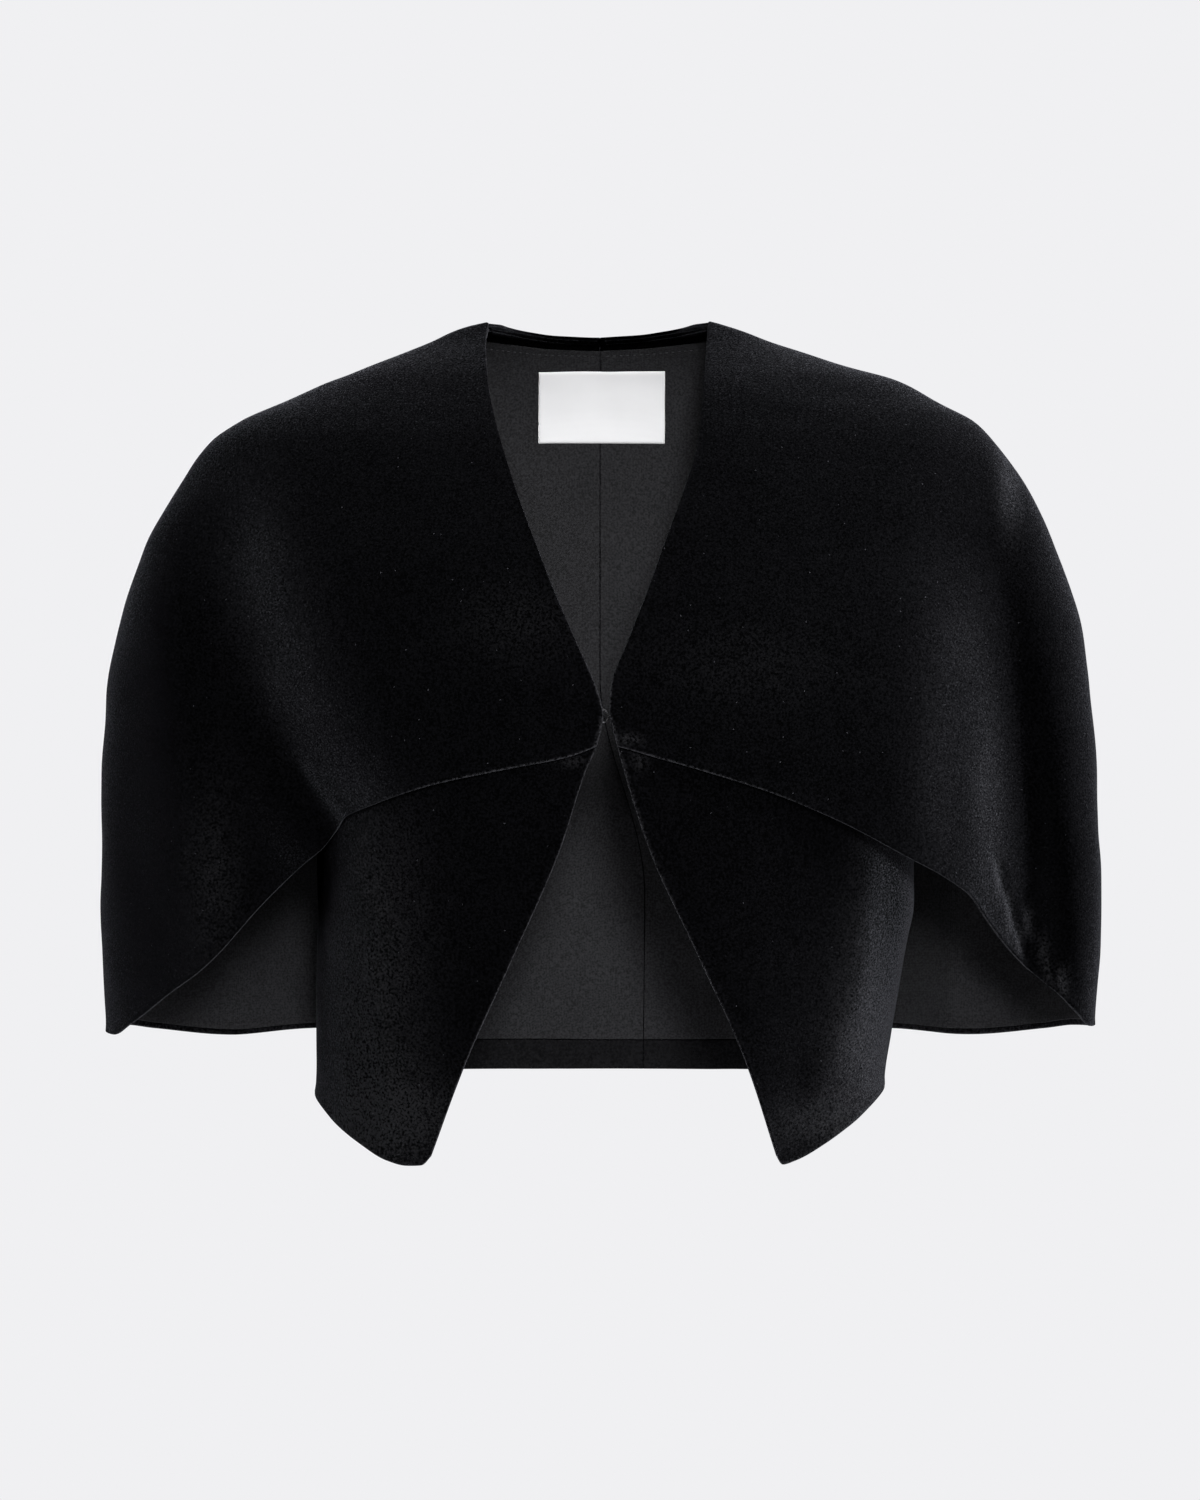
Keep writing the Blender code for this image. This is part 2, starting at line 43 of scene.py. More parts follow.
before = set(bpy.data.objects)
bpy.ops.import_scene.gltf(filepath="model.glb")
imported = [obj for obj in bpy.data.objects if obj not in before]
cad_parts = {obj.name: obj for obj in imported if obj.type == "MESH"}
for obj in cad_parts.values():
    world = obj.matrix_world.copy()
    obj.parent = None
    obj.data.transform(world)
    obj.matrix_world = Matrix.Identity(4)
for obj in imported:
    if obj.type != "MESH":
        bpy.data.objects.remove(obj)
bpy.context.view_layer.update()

MM = 0.001
SIGN = {"left": -1.0, "right": 1.0}

# Walls, gaps and turned edges of the cloth
VELVET_WALL = 2.0
LINING_WALL = 1.0
FACING_WALL = 1.2
LABEL_WALL = 0.9
SEAM_GAP = 0.3
SEAM_LAP = 0.05
LAYER_GAP = 0.5
UNDER_GAP = 0.8
UNDER_GAP_FROM = 75.0
UNDER_GAP_RISE = 0.03
STEEPEST = 12.0
CAPE_HEM_TURN = 3.5
CAPE_LINING_TOP = 0.19
NECK_FACING_DEEP = 3.0
HEM_FACING_DEEP = 18.0
TURN_IN = 9.0
LABEL_ACROSS = (-39.0, 41.0)
LABEL_DROP = (23.0, 68.0)

# Points across and down the label, and the least flat width or length of a sheet in metres
LABEL_COLUMNS = 60
LABEL_ROWS = 36
LEAST_FLAT = 0.012

# How an edge is rounded, and how finely lines are measured before the grid is laid
RIM_ANGLES = np.radians([0, 20, 45, 70, 90])
RIM_MOST = 0.48
FREE_RIM = 0.95
SWELL_FROM_EDGE = 3.2
SWELL_WIDE = 2.6
# Width of the painted highlight along free edges
EDGE_SHEEN_WIDE = 0.8
SEAM_RIM = 0.55
NECK_RIM = 0.9
# Depth below the top edge of a back that wears the shade-painted velvet
NECK_SHADE_ROLL = 4.0
RIM_LEAN = 2.5
THIN_RIM = 0.4
LINE_SAMPLES = 240
CHART_STEP = 0.25

# Clasp
CLASP_DROP = 241.0
EYE_HALF_WIDE = 2.7
EYE_HALF_HIGH = 3.7
EYE_POINTS = 40
HOOK_LONG = 9.0
HOOK_TIP = 0.4
HOOK_POINTS = 15
WIRE_SIDES = 14
WIRE_LEVEL = np.array([0.13, 0.97, 0.21])

# Stitches: lift and thickness along one, by thread radius, and where a row of them starts and ends
STITCH_LIFT = np.array([-1.2, 0.3, 0.7, 0.3, -1.2])
STITCH_THICK = np.array([0.7, 1, 1, 1, 0.7])
STITCH_SIDES = 6
NECK_STITCH_ENDS = (0.01, 0.97)
NECK_STITCH_ROW = 0.006
HEM_STITCH_ENDS = (0.02, 0.98)
HEM_STITCH_ROW = 0.009

# Scales of the noise and wave patterns, and the radius of a speck of lint in its cell
PILE_TUFTS = 1000.0
PILE_GRAIN = 700.0
PILE_STREAKS = 95.0
PILE_BRUSHED = 24.0
LINT_SPACING = 120.0
LINT_SIZE = 0.04
WEAVE = 310.0
PEBBLE = 780.0
LINING_CLOUD = 30.0
LABEL_RIBS = 420.0
LABEL_WARP = 520.0
LABEL_CLOUD = 60.0
THREAD_TWIST = 2600.0
WIRE_WEAR = 900.0
FLOOR_CLOUD = 3.0

# Sides of the round floor
FLOOR_SIDES = 96


def table(columns, *rows):
    """Rows of numbers as one array for each named column."""
    names = columns.split()
    return {name: np.array([row[i] for row in rows], float) for i, name in enumerate(names)}


CAPE_FORM = table(
    "drop left right front back square_front square_back",
    (0, 68, 66, 8, 22, 2.0, 2.0), (1, 76, 71, 9, 43, 2.0, 2.0), (3, 84, 78, 11, 53, 2.0, 2.0),
    (7, 94, 90, 15.5, 60, 2.0, 2.0), (11, 102, 101, 20, 66, 2.0, 1.95), (23, 130, 139, 34, 77, 2.0, 1.9),
    (35, 160, 178, 46, 84, 2.0, 1.9), (48, 189, 204, 56, 89, 2.05, 1.9),
    (60, 218, 228, 64, 93, 2.1, 1.95), (72, 237, 240, 72, 96, 2.15, 2.0),
    (96, 254, 257, 84, 102, 2.2, 2.1), (133, 275, 275, 99, 108, 2.3, 2.2),
    (182, 292, 292, 115, 112, 2.35, 2.3), (231, 301, 299, 124, 114, 2.4, 2.3),
    (292, 303, 303, 127, 114, 2.5, 2.3), (365, 303.5, 305, 125, 113, 2.6, 2.3),
    (440, 300, 300, 121, 112, 2.6, 2.3),
)
VEST_FORM = table(
    "drop left right front back square_front square_back",
    (3, 67, 65, 6, 19, 2.0, 2.0), (4, 71, 69, 7, 40, 2.0, 2.0), (6, 77, 75, 9, 50, 2.0, 2.0),
    (10, 89, 88, 14, 57, 2.0, 2.0), (14, 99, 98, 19, 63, 2.0, 1.95), (26, 128, 135, 33, 73, 2.0, 1.9),
    (38, 156, 168, 45, 80, 2.0, 1.9), (55, 178, 188, 58, 87, 2.2, 2.0), (80, 188, 198, 74, 93, 2.4, 2.2),
    (120, 186, 198, 92.5, 98, 2.6, 2.4), (180, 178, 192, 111.5, 101, 2.8, 2.5),
    (231, 174, 190, 121, 102, 2.9, 2.6), (300, 172, 191, 123, 101, 3.0, 2.6),
    (350, 172, 190, 122, 99, 3.0, 2.6), (400, 172, 183, 120, 97, 3.0, 2.6),
    (460, 173, 173, 116, 95, 3.0, 2.6), (510, 173, 172, 112, 94, 3.0, 2.6),
)
FORMS = {"cape": CAPE_FORM, "vest": VEST_FORM}

# Edge of the V from the neck point down to the clasp, and on to the corner of the cape
V_EDGE = table(
    "drop left right",
    (0, 68, 66), (10, 69.5, 65), (38, 67.5, 62.5), (64, 62.5, 60.5), (82, 57.5, 57.5), (110, 48.5, 48.5),
    (140, 37.5, 37.5), (168, 26.5, 27.5), (196, 14.5, 16.5), (226, 1.5, 6), (239, -2, 5.5),
)
CAPE_CORNER = table("drop left right", (239, -2, 5.5), (249, -0.5, 7.5), (259, 2, 10))

# Lower edge of the cape from the corner at the centre out to the side
LOWER_EDGE = {
    "left": table(
        "across drop",
        (2, 259), (18, 265), (53, 272), (100, 282), (135, 294), (153, 302.5), (157, 309), (164, 319),
        (175, 328.5), (200, 353), (213, 367.5), (225, 381), (237, 392), (255, 405), (283, 426),
        (294, 432.5), (310, 431),
    ),
    "right": table(
        "across drop",
        (10, 259), (24, 263), (59, 273), (100, 286), (141, 303), (180, 323.5), (205, 337), (221, 348.5),
        (231, 362.5), (247.5, 383), (262, 397), (276, 409), (288, 420), (296, 427.5), (310, 429.5),
    ),
}

# Edges that run round the back from the centre to the side
CAPE_NECK = table("turn drop", (180, 4.5), (163, 3.8), (148, 2.3), (120, 0.3), (90, 0))
CAPE_BACK_HEM = table(
    "turn drop",
    (180, 434), (165, 434.5), (145, 435.5), (133, 438), (115, 433.5), (105, 430.5), (90, 429.5),
)
VEST_NECK = table("turn drop", (180, 7.5), (163, 6.8), (148, 5.4), (120, 3.7), (90, 3))
VEST_BACK_HEM_DROP = 461.0
SHOULDER_END = 34.0

# Free edge of each vest front, its hem, and the armholes from the shoulder down to the side seam
VEST_EDGE = table(
    "drop left right",
    (259, 2, 10), (270, 7, 13), (320, 23.5, 29), (385, 52, 59), (445, 79, 86), (501, 100, 105),
)
VEST_HEM = {
    "left": table(
        "across drop",
        (100, 501), (106, 506.5), (115, 507), (126.5, 504.5), (143, 495.5), (158, 484.5), (167, 475.5),
        (180, 463),
    ),
    "right": table(
        "across drop",
        (105, 501), (109, 506.5), (116, 504.5), (134, 494.5), (150.5, 483), (160, 475), (180, 460),
    ),
}
ARMHOLE = table(
    "front_turn back_turn drop",
    (90, 90, 34), (68, 108, 40), (57, 120, 50), (47, 127, 85), (46, 128, 120), (48, 126, 160),
    (56, 119, 193), (71, 107, 212), (90, 90, 219),
)
VEST_SEAM = table("drop across", (0, 0), (215, 0), (350, 28), (470, 27))

# Large folds of the solids, from their top end to their bottom end: a trough has a depth above zero
FOLD_COLUMNS = "across0 drop0 across1 drop1 bow inward outward depth0 depth1"
FOLDS = {
    ("cape", "front", "left"): (
        (231, 110, 162, 312, 14, 48, 38, 5, 27), (222, 300, 240, 420, 0, 16, 16, 0, -2),
    ),
    ("cape", "front", "right"): (
        (229, 120, 254, 350, 5, 56, 26, 4, 13), (229, 120, 254, 350, 5, 25, 18, 2, 9),
    ),
    ("cape", "back", "left"): (
        (205, 120, 225, 440, 0, 34, 28, 4, 18), (95, 150, 120, 440, 0, 30, 36, 1, 9),
    ),
    ("cape", "back", "right"): (
        (210, 120, 220, 440, 0, 30, 30, 4, 16), (105, 140, 100, 440, 0, 34, 30, 1, 10),
    ),
    ("vest", "front", "left"): ((118, 320, 128, 505, 0, 24, 24, 0, 4),),
    ("vest", "front", "right"): ((128, 330, 122, 505, 0, 26, 30, 0, 6),),
    ("vest", "back", "left"): ((95, 260, 100, 460, 0, 30, 30, 0, -4),),
    ("vest", "back", "right"): ((105, 270, 95, 460, 0, 30, 30, 0, -4),),
}
FOLD_START = (-0.25, 0.15)
FOLD_END_TURN = {"front": 72, "back": 108}
FOLD_WAY = {"front": 1, "back": -1}

# Finer creases of the cloth, straight from one end to the other: half width and depth in the middle
CREASE_COLUMNS = "across0 drop0 across1 drop1 width depth"
CREASES = {
    ("cape", "front", "left"): (
        (207, 215, 178, 281, 12, 1.4), (184, 268, 157, 309, 7, 4.0), (157, 308, 169, 290, 1.8, -0.7),
        (160, 311, 174, 299, 1.7, -0.7), (161, 314, 180, 309, 1.7, -0.6), (168, 322, 178, 308, 1.8, -0.7),
        (164, 310, 176, 302, 1.8, 0.8), (147, 302, 158, 289, 3.0, -0.9), (66, 172, 24, 193, 12, -0.7),
        (120, 90, 70, 130, 20, -0.6),
    ),
    ("cape", "front", "right"): (
        (235, 322, 257, 386, 3.0, 2.6), (254, 350, 288, 413, 5, 2.0), (267, 382, 281, 404, 3, 0.7),
        (112, 168, 60, 229, 17, -0.8), (150, 210, 100, 262, 14, 0.6), (12, 253, 25, 261, 4.5, -1.4),
        (10, 246, 20, 250, 3.0, 0.8),
    ),
    ("cape", "back", "left"): (
        (150, 200, 160, 436, 12, -2.5), (222, 300, 228, 440, 7, 2.0), (60, 250, 40, 400, 18, 0.8),
    ),
    ("cape", "back", "right"): (
        (160, 190, 155, 436, 12, -2.5), (224, 310, 218, 440, 7, 2.0), (50, 240, 65, 410, 18, 0.8),
    ),
    ("vest", "front", "left"): (
        (5, 261, 17, 277, 1.8, 0.8), (8, 262, 24, 271, 1.8, -0.6), (140, 360, 120, 470, 8, -0.8),
        (70, 400, 95, 480, 10, 0.6),
    ),
    ("vest", "front", "right"): (
        (14, 263, 30, 285, 1.8, 0.8), (19, 264, 38, 282, 1.8, -0.7), (160, 318, 154, 409, 8, -1.2),
        (154, 400, 122, 478, 9, -1.2),
    ),
    ("vest", "back", "left"): ((60, 330, 90, 450, 14, 0.8),),
    ("vest", "back", "right"): ((80, 300, 60, 440, 14, 0.8),),
}
CREASE_ENDS = (0.22, 0.22)

# Where the pile is brushed aside: middle and size of the place, its lean out and down, and how much painted
# sheen lightens its colour, partly brushed pile and partly a painted highlight
BRUSH_COLUMNS = "across drop wide high out down pale"
BRUSHED = {
    ("cape", "front", "left"): (
        (45, 185, 34, 22, 0.1, 0.1, 0.15), (205, 148, 24, 50, 0.35, 0.0, 0.1),
        (185, 210, 22, 45, 0.2, 0.0, 0.1), (110, 20, 40, 14, 0.0, 0.0, 0.3),
        (298, 310, 22, 140, -0.32, 0.0, 0.0), (228, 340, 16, 60, 0.0, 0.0, 0.25),
    ),
    ("cape", "front", "right"): (
        (85, 210, 55, 26, 0.1, 0.08, 0.1), (300, 300, 14, 140, -0.3, 0.0, 0.0),
        (238, 338, 3, 11, 0.5, 0.0, 0.4), (245, 359, 3, 13, 0.7, 0.0, 0.5),
        (251, 376, 3, 8, 0.6, 0.0, 0.5), (257, 364, 4, 9, 1.1, 0.0, 0.3),
        (266, 382, 5, 11, 1.1, 0.0, 0.4), (277, 400, 5, 10, 1.0, 0.0, 0.4),
        (268, 398, 3, 8, 0.9, 0.0, 0.3), (218, 196, 14, 30, 0.25, 0.0, 0.1),
        (200, 250, 16, 90, 0.38, 0.0, 0.1), (230, 285, 11, 60, 0.42, 0.0, 0.2),
        (246, 104, 7, 28, 1.0, 0.0, 0.4), (110, 20, 40, 14, 0.0, 0.0, 0.2),
        (17, 255, 6, 3, 0.0, 0.0, 0.55),
    ),
    ("cape", "back", "left"): (
        (180, 300, 26, 120, 0.75, 0.0, 0.35), (70, 260, 30, 110, 0.6, 0.0, 0.35),
        (120, 60, 60, 30, 0.0, 0.0, 0.3), (0, 3, 90, 6, 0.0, 1.0, 0.0),
    ),
    ("cape", "back", "right"): (
        (185, 290, 26, 120, 0.75, 0.0, 0.35), (80, 300, 30, 100, 0.6, 0.0, 0.35),
        (120, 60, 60, 30, 0.0, 0.0, 0.3), (0, 3, 90, 6, 0.0, 1.0, 0.0),
    ),
    ("vest", "front", "left"): (
        (142, 400, 31, 95, 0.0, 0.0, 0.55), (125, 480, 36, 26, 0.0, 0.0, 0.7),
        (170, 400, 10, 120, -0.7, 0.0, 0.0), (170, 320, 14, 40, -0.8, 0.0, -0.5),
        (15, 268, 9, 3, 0.0, 0.0, 0.4),
    ),
    ("vest", "front", "right"): (
        (163, 375, 14, 80, 0.7, 0.0, 0.3), (150, 445, 17, 45, 0.7, 0.0, 0.4),
        (130, 482, 26, 16, 0.5, 0.0, 0.4), (23, 266, 5, 7, 0.0, 0.0, 0.4),
    ),
    ("vest", "back", "left"): (
        (90, 430, 50, 40, 0.2, 0.0, 0.4), (0, 6, 90, 6, 0.0, 1.0, 0.0),
    ),
    ("vest", "back", "right"): (
        (90, 430, 50, 40, 0.2, 0.0, 0.4), (0, 6, 90, 6, 0.0, 1.0, 0.0),
    ),
}
BRUSHED_TURN = {"front": (100, 80), "back": (80, 100)}

# Slow unevenness of all the cloth, as waves through space: height, wavelengths along X, Y and Z, phase
WAVE_COLUMNS = "height x y z phase"
WAVES = (
    (0.5, 210, 260, 290, 0.4), (0.25, -130, 220, 170, 2.1), (0.1, 80, -130, -95, 4.4),
)
WAVE_BEND = 0.35
PILE_DEEPER = 2.0

# Studio lights: place, size and the point that each faces, in metres, power in watts and beam angle
LIGHT_COLUMNS = "name x y z wide high aim_x aim_z power beam"
LIGHTS = (
    ("key_right", 2.3, -0.2, 0.4, 1.0, 2.0, 0.1, -0.25, 126, 180),
    ("fill_left", -2.3, -0.2, 0.3, 1.0, 2.0, -0.1, -0.25, 40, 180),
    ("over", 0.0, 0.3, 2.0, 2.4, 1.2, 0.0, -0.2, 18, 180),
    ("front", 0.2, -2.9, 0.45, 0.4, 0.7, 0.0, -0.15, 2.75, 26),
    ("behind", -0.5, 2.9, 0.5, 0.8, 0.8, 0.0, -0.3, 170, 180),
)


def smooth(at, xs, ys):
    """Cubic through the points, with no bump between two rows, held level beyond its ends."""
    step = np.diff(xs)
    slope = np.diff(ys) / step
    tangent = np.concatenate([slope[:1], np.zeros(len(step) - 1), slope[-1:]])
    for i in range(1, len(step)):
        if slope[i - 1] * slope[i] > 0:
            near = 2 * step[i] + step[i - 1]
            far = step[i] + 2 * step[i - 1]
            tangent[i] = (near + far) / (near / slope[i - 1] + far / slope[i])
    at = np.asarray(at, float)
    i = np.clip(np.searchsorted(xs, at) - 1, 0, len(step) - 1)
    t = np.clip((at - xs[i]) / step[i], 0, 1)
    rise = (ys[i + 1] - ys[i]) * (3 - 2 * t) * t * t
    return ys[i] + rise + step[i] * t * (1 - t) * (tangent[i] * (1 - t) - tangent[i + 1] * t)


def ease(low, high, at):
    """0 at low and 1 at high, with level ends."""
    t = np.clip((at - low) / (high - low), 0, 1)
    return t * t * (3 - 2 * t)


def rows_of(columns, rows):
    """Each row as a dict under the names of the columns."""
    return [dict(zip(columns.split(), row)) for row in rows]


def form_sizes(form, side, drop):
    names = (side, "front", "back", "square_front", "square_back")
    return {name: smooth(drop, form["drop"], form[name]) for name in names}


def form_point(form, side, turn, drop):
    """Point on the filled-out form, with X as the distance across."""
    size = form_sizes(form, side, drop)
    sine = np.sin(np.radians(turn))
    cosine = np.cos(np.radians(turn))
    power = 2 / np.where(cosine >= 0, size["square_front"], size["square_back"])
    deep = np.where(cosine >= 0, size["front"], size["back"])
    x = size[side] * np.sign(sine) * np.abs(sine) ** power
    y = -deep * np.sign(cosine) * np.abs(cosine) ** power
    return np.stack([x, y, -np.asarray(drop, float) + 0 * x], axis=-1)


def turn_at(form, side, across, drop, back=False):
    """Turn at which the form has this distance across."""
    size = form_sizes(form, side, drop)
    ratio = np.clip(across / size[side], -1, 1)
    square = size["square_back" if back else "square_front"]
    turn = np.degrees(np.arcsin(np.sign(ratio) * np.abs(ratio) ** (square / 2)))
    return 180 - turn if back else turn


def fold_depth(folds, across, drop):
    """How far the large folds move a point of the cloth in towards the body."""
    total = 0 * across
    for row in rows_of(FOLD_COLUMNS, folds):
        along = (drop - row["drop0"]) / (row["drop1"] - row["drop0"])
        axis = row["across0"] + (row["across1"] - row["across0"]) * along
        away = across - axis - 4 * row["bow"] * along * (1 - along)
        width = np.where(away < 0, row["inward"], row["outward"])
        depth = row["depth0"] + (row["depth1"] - row["depth0"]) * np.clip(along, 0, 1)
        total = total + depth * ease(*FOLD_START, along) * np.exp(-((away / width) ** 2))
    return total


def crease_depth(creases, across, drop):
    """How far the fine creases move a point of the cloth in towards the body."""
    total = 0 * across
    start, end = CREASE_ENDS
    for row in rows_of(CREASE_COLUMNS, creases):
        run = np.array([row["across1"] - row["across0"], row["drop1"] - row["drop0"]])
        long = np.hypot(*run)
        run = run / long
        from_start = np.stack([across - row["across0"], drop - row["drop0"]], axis=-1)
        along = (from_start @ run) / long
        away = from_start[..., 0] * run[1] - from_start[..., 1] * run[0]
        fade = ease(-start, start, along) * (1 - ease(1 - end, 1 + end, along))
        total = total + row["depth"] * fade * np.exp(-((away / row["width"]) ** 2))
    return total


def wave_depth(point, sign):
    """Slow unevenness at a point, the same for every layer of cloth there."""
    total = 0 * point[..., 0]
    for row in rows_of(WAVE_COLUMNS, WAVES):
        angle = sign * point[..., 0] / row["x"] + point[..., 1] / row["y"] + point[..., 2] / row["z"]
        bend = sign * point[..., 0] / row["z"] - point[..., 2] / row["x"]
        bent = angle + WAVE_BEND * np.sin(2 * math.pi * bend + 2 * row["phase"])
        total = total + row["height"] * np.sin(2 * math.pi * bent + row["phase"])
    return total


def cape_depth(side, across, drop, back):
    """Distance of the cape's outside in front of the side line, or behind it."""
    size = form_sizes(CAPE_FORM, side, drop)
    square = np.where(back, size["square_back"], size["square_front"])
    ratio = np.clip(np.abs(across) / size[side], 0, 1)
    return np.where(back, size["back"], size["front"]) * (1 - ratio**square) ** (1 / square)


def under_cape(side, point):
    """The point, moved in where it lies nearer to the outside of the cape than the cape's wall and seam."""
    across = point[..., 0]
    drop = -point[..., 2]
    back = point[..., 1] > 0
    slope_across = cape_depth(side, across + 1, drop, back) - cape_depth(side, across - 1, drop, back)
    slope_down = cape_depth(side, across, drop + 1, back) - cape_depth(side, across, drop - 1, back)
    steep = np.minimum(np.sqrt(1 + (slope_across**2 + slope_down**2) / 4), STEEPEST)
    room = VELVET_WALL + UNDER_GAP + UNDER_GAP_RISE * np.maximum(across - UNDER_GAP_FROM, 0)
    limit = np.maximum(cape_depth(side, across, drop, back) - room * steep, 0)
    kept = np.minimum(np.abs(point[..., 1]), limit)
    return np.stack([across, np.where(back, kept, -kept), point[..., 2]], axis=-1)


def outward(surface, turn, drop):
    """Unit normals that point away from the body."""
    round_step = surface(turn + CHART_STEP, drop) - surface(turn - CHART_STEP, drop)
    down_step = surface(turn, drop + CHART_STEP) - surface(turn, drop - CHART_STEP)
    normal = np.cross(down_step, round_step)
    return normal / np.linalg.norm(normal, axis=-1, keepdims=True)


class Drape:
    """One side of the cape or the vest as a surface over turn and drop."""

    def __init__(self, garment, side):
        self.garment = garment
        self.side = side
        self.form = FORMS[garment]

    def plain(self, turn, drop):
        return form_point(self.form, self.side, turn, drop)

    def folded(self, turn, drop, deeper=1.0):
        point = self.plain(turn, drop)
        across = point[..., 0]
        depth = wave_depth(point, SIGN[self.side])
        for face, end_turn in FOLD_END_TURN.items():
            key = (self.garment, face, self.side)
            shown = ease(90, end_turn, turn)
            depth = depth + shown * crease_depth(CREASES[key], across, drop)
            point[..., 1] += FOLD_WAY[face] * deeper * shown * fold_depth(FOLDS[key], across, drop)
        return point - outward(self.plain, turn, drop) * depth[..., None]

    def pile(self, chart):
        """Directions of the pile, which leans with the folds and where it is brushed, and the painted sheen
        that lightens its colour there, partly brushed pile and partly a painted highlight.
        """
        turn = chart[..., 0]
        drop = chart[..., 1]
        direction = outward(lambda t, d: self.folded(t, d, PILE_DEEPER), turn, drop)
        across = self.plain(turn, drop)[..., 0]
        pale = 0 * across
        for face, turns in BRUSHED_TURN.items():
            for row in rows_of(BRUSH_COLUMNS, BRUSHED[self.garment, face, self.side]):
                away = np.hypot((across - row["across"]) / row["wide"], (drop - row["drop"]) / row["high"])
                near = np.exp(-(away**2)) * ease(*turns, turn)
                direction = direction + near[..., None] * np.array([row["out"], 0, -row["down"]])
                pale = pale + near * row["pale"]
        return direction / np.linalg.norm(direction, axis=-1, keepdims=True), pale

    def surface(self, chart):
        """Points and normals at chart points of turn and drop."""
        turn = chart[..., 0]
        drop = chart[..., 1]
        point = self.folded(turn, drop)
        if self.garment == "vest":
            point = under_cape(self.side, point)
        return point, outward(self.folded, turn, drop)

    def line(self, across_and_drop, back=False):
        """A line of across and drop turned into turn and drop."""

        def at(t):
            across, drop = np.moveaxis(across_and_drop(t), -1, 0)
            return np.stack([turn_at(self.form, self.side, across, drop, back), drop], axis=-1)

        return at


def path(first, second):
    """Smooth line through the points of two columns, as a function of 0 to 1 along its length."""
    points = np.stack([first, second], axis=-1).astype(float)
    along = np.concatenate([[0], np.cumsum(np.hypot(*np.diff(points, axis=0).T))])
    along = along / along[-1]

    def at(t):
        return np.stack([smooth(t, along, points[:, 0]), smooth(t, along, points[:, 1])], axis=-1)

    return at


def side_line(top, bottom):
    return path([90, 90], [top, bottom])


def patch(top, bottom, inner, outer):
    """Chart inside four edges: top and bottom run from the inner edge to the outer one."""

    def at(p, q):
        column = p[..., None]
        row = q[..., None]
        across = (1 - row) * top(p) + row * bottom(p)
        down = (1 - column) * inner(q) + column * outer(q)
        corners = (1 - row) * ((1 - column) * top(0.0) + column * top(1.0))
        corners = corners + row * ((1 - column) * bottom(0.0) + column * bottom(1.0))
        return across + down - corners

    return at


def part_of(chart, first, last):
    """The stretch of a chart between two of its rows."""
    return lambda p, q: chart(p, first + (last - first) * q)


def line_lengths(points):
    """Distance along each line of a grid from its first point."""
    step = np.linalg.norm(np.diff(points, axis=1), axis=-1)
    return np.concatenate([np.zeros((len(points), 1)), np.cumsum(step, axis=1)], axis=1)


def fractions(lines, samples, count, rims):
    """Where points lie along each line: evenly, with the lines of a rounded rim near both ends."""
    length = line_lengths(lines)
    total = length[:, -1:]
    bend = 1 - np.cos(RIM_ANGLES)
    first = rims[0] * bend + 0 * total
    last = total - rims[1] * bend[::-1]
    between = np.linspace(0, 1, count + 1)[1:-1]
    middle = first[:, -1:] + (last[:, :1] - first[:, -1:]) * between
    wanted = np.concatenate([first, middle, last], axis=1)
    return np.stack([np.interp(at, along, samples) for at, along in zip(wanted, length)])


def rim_depths(count, rims):
    """How far each line of a grid sinks where its two ends are rounded."""
    bend = 1 - np.sin(RIM_ANGLES)
    return np.concatenate([rims[0] * bend, np.zeros(count - 1), rims[1] * bend[::-1]])


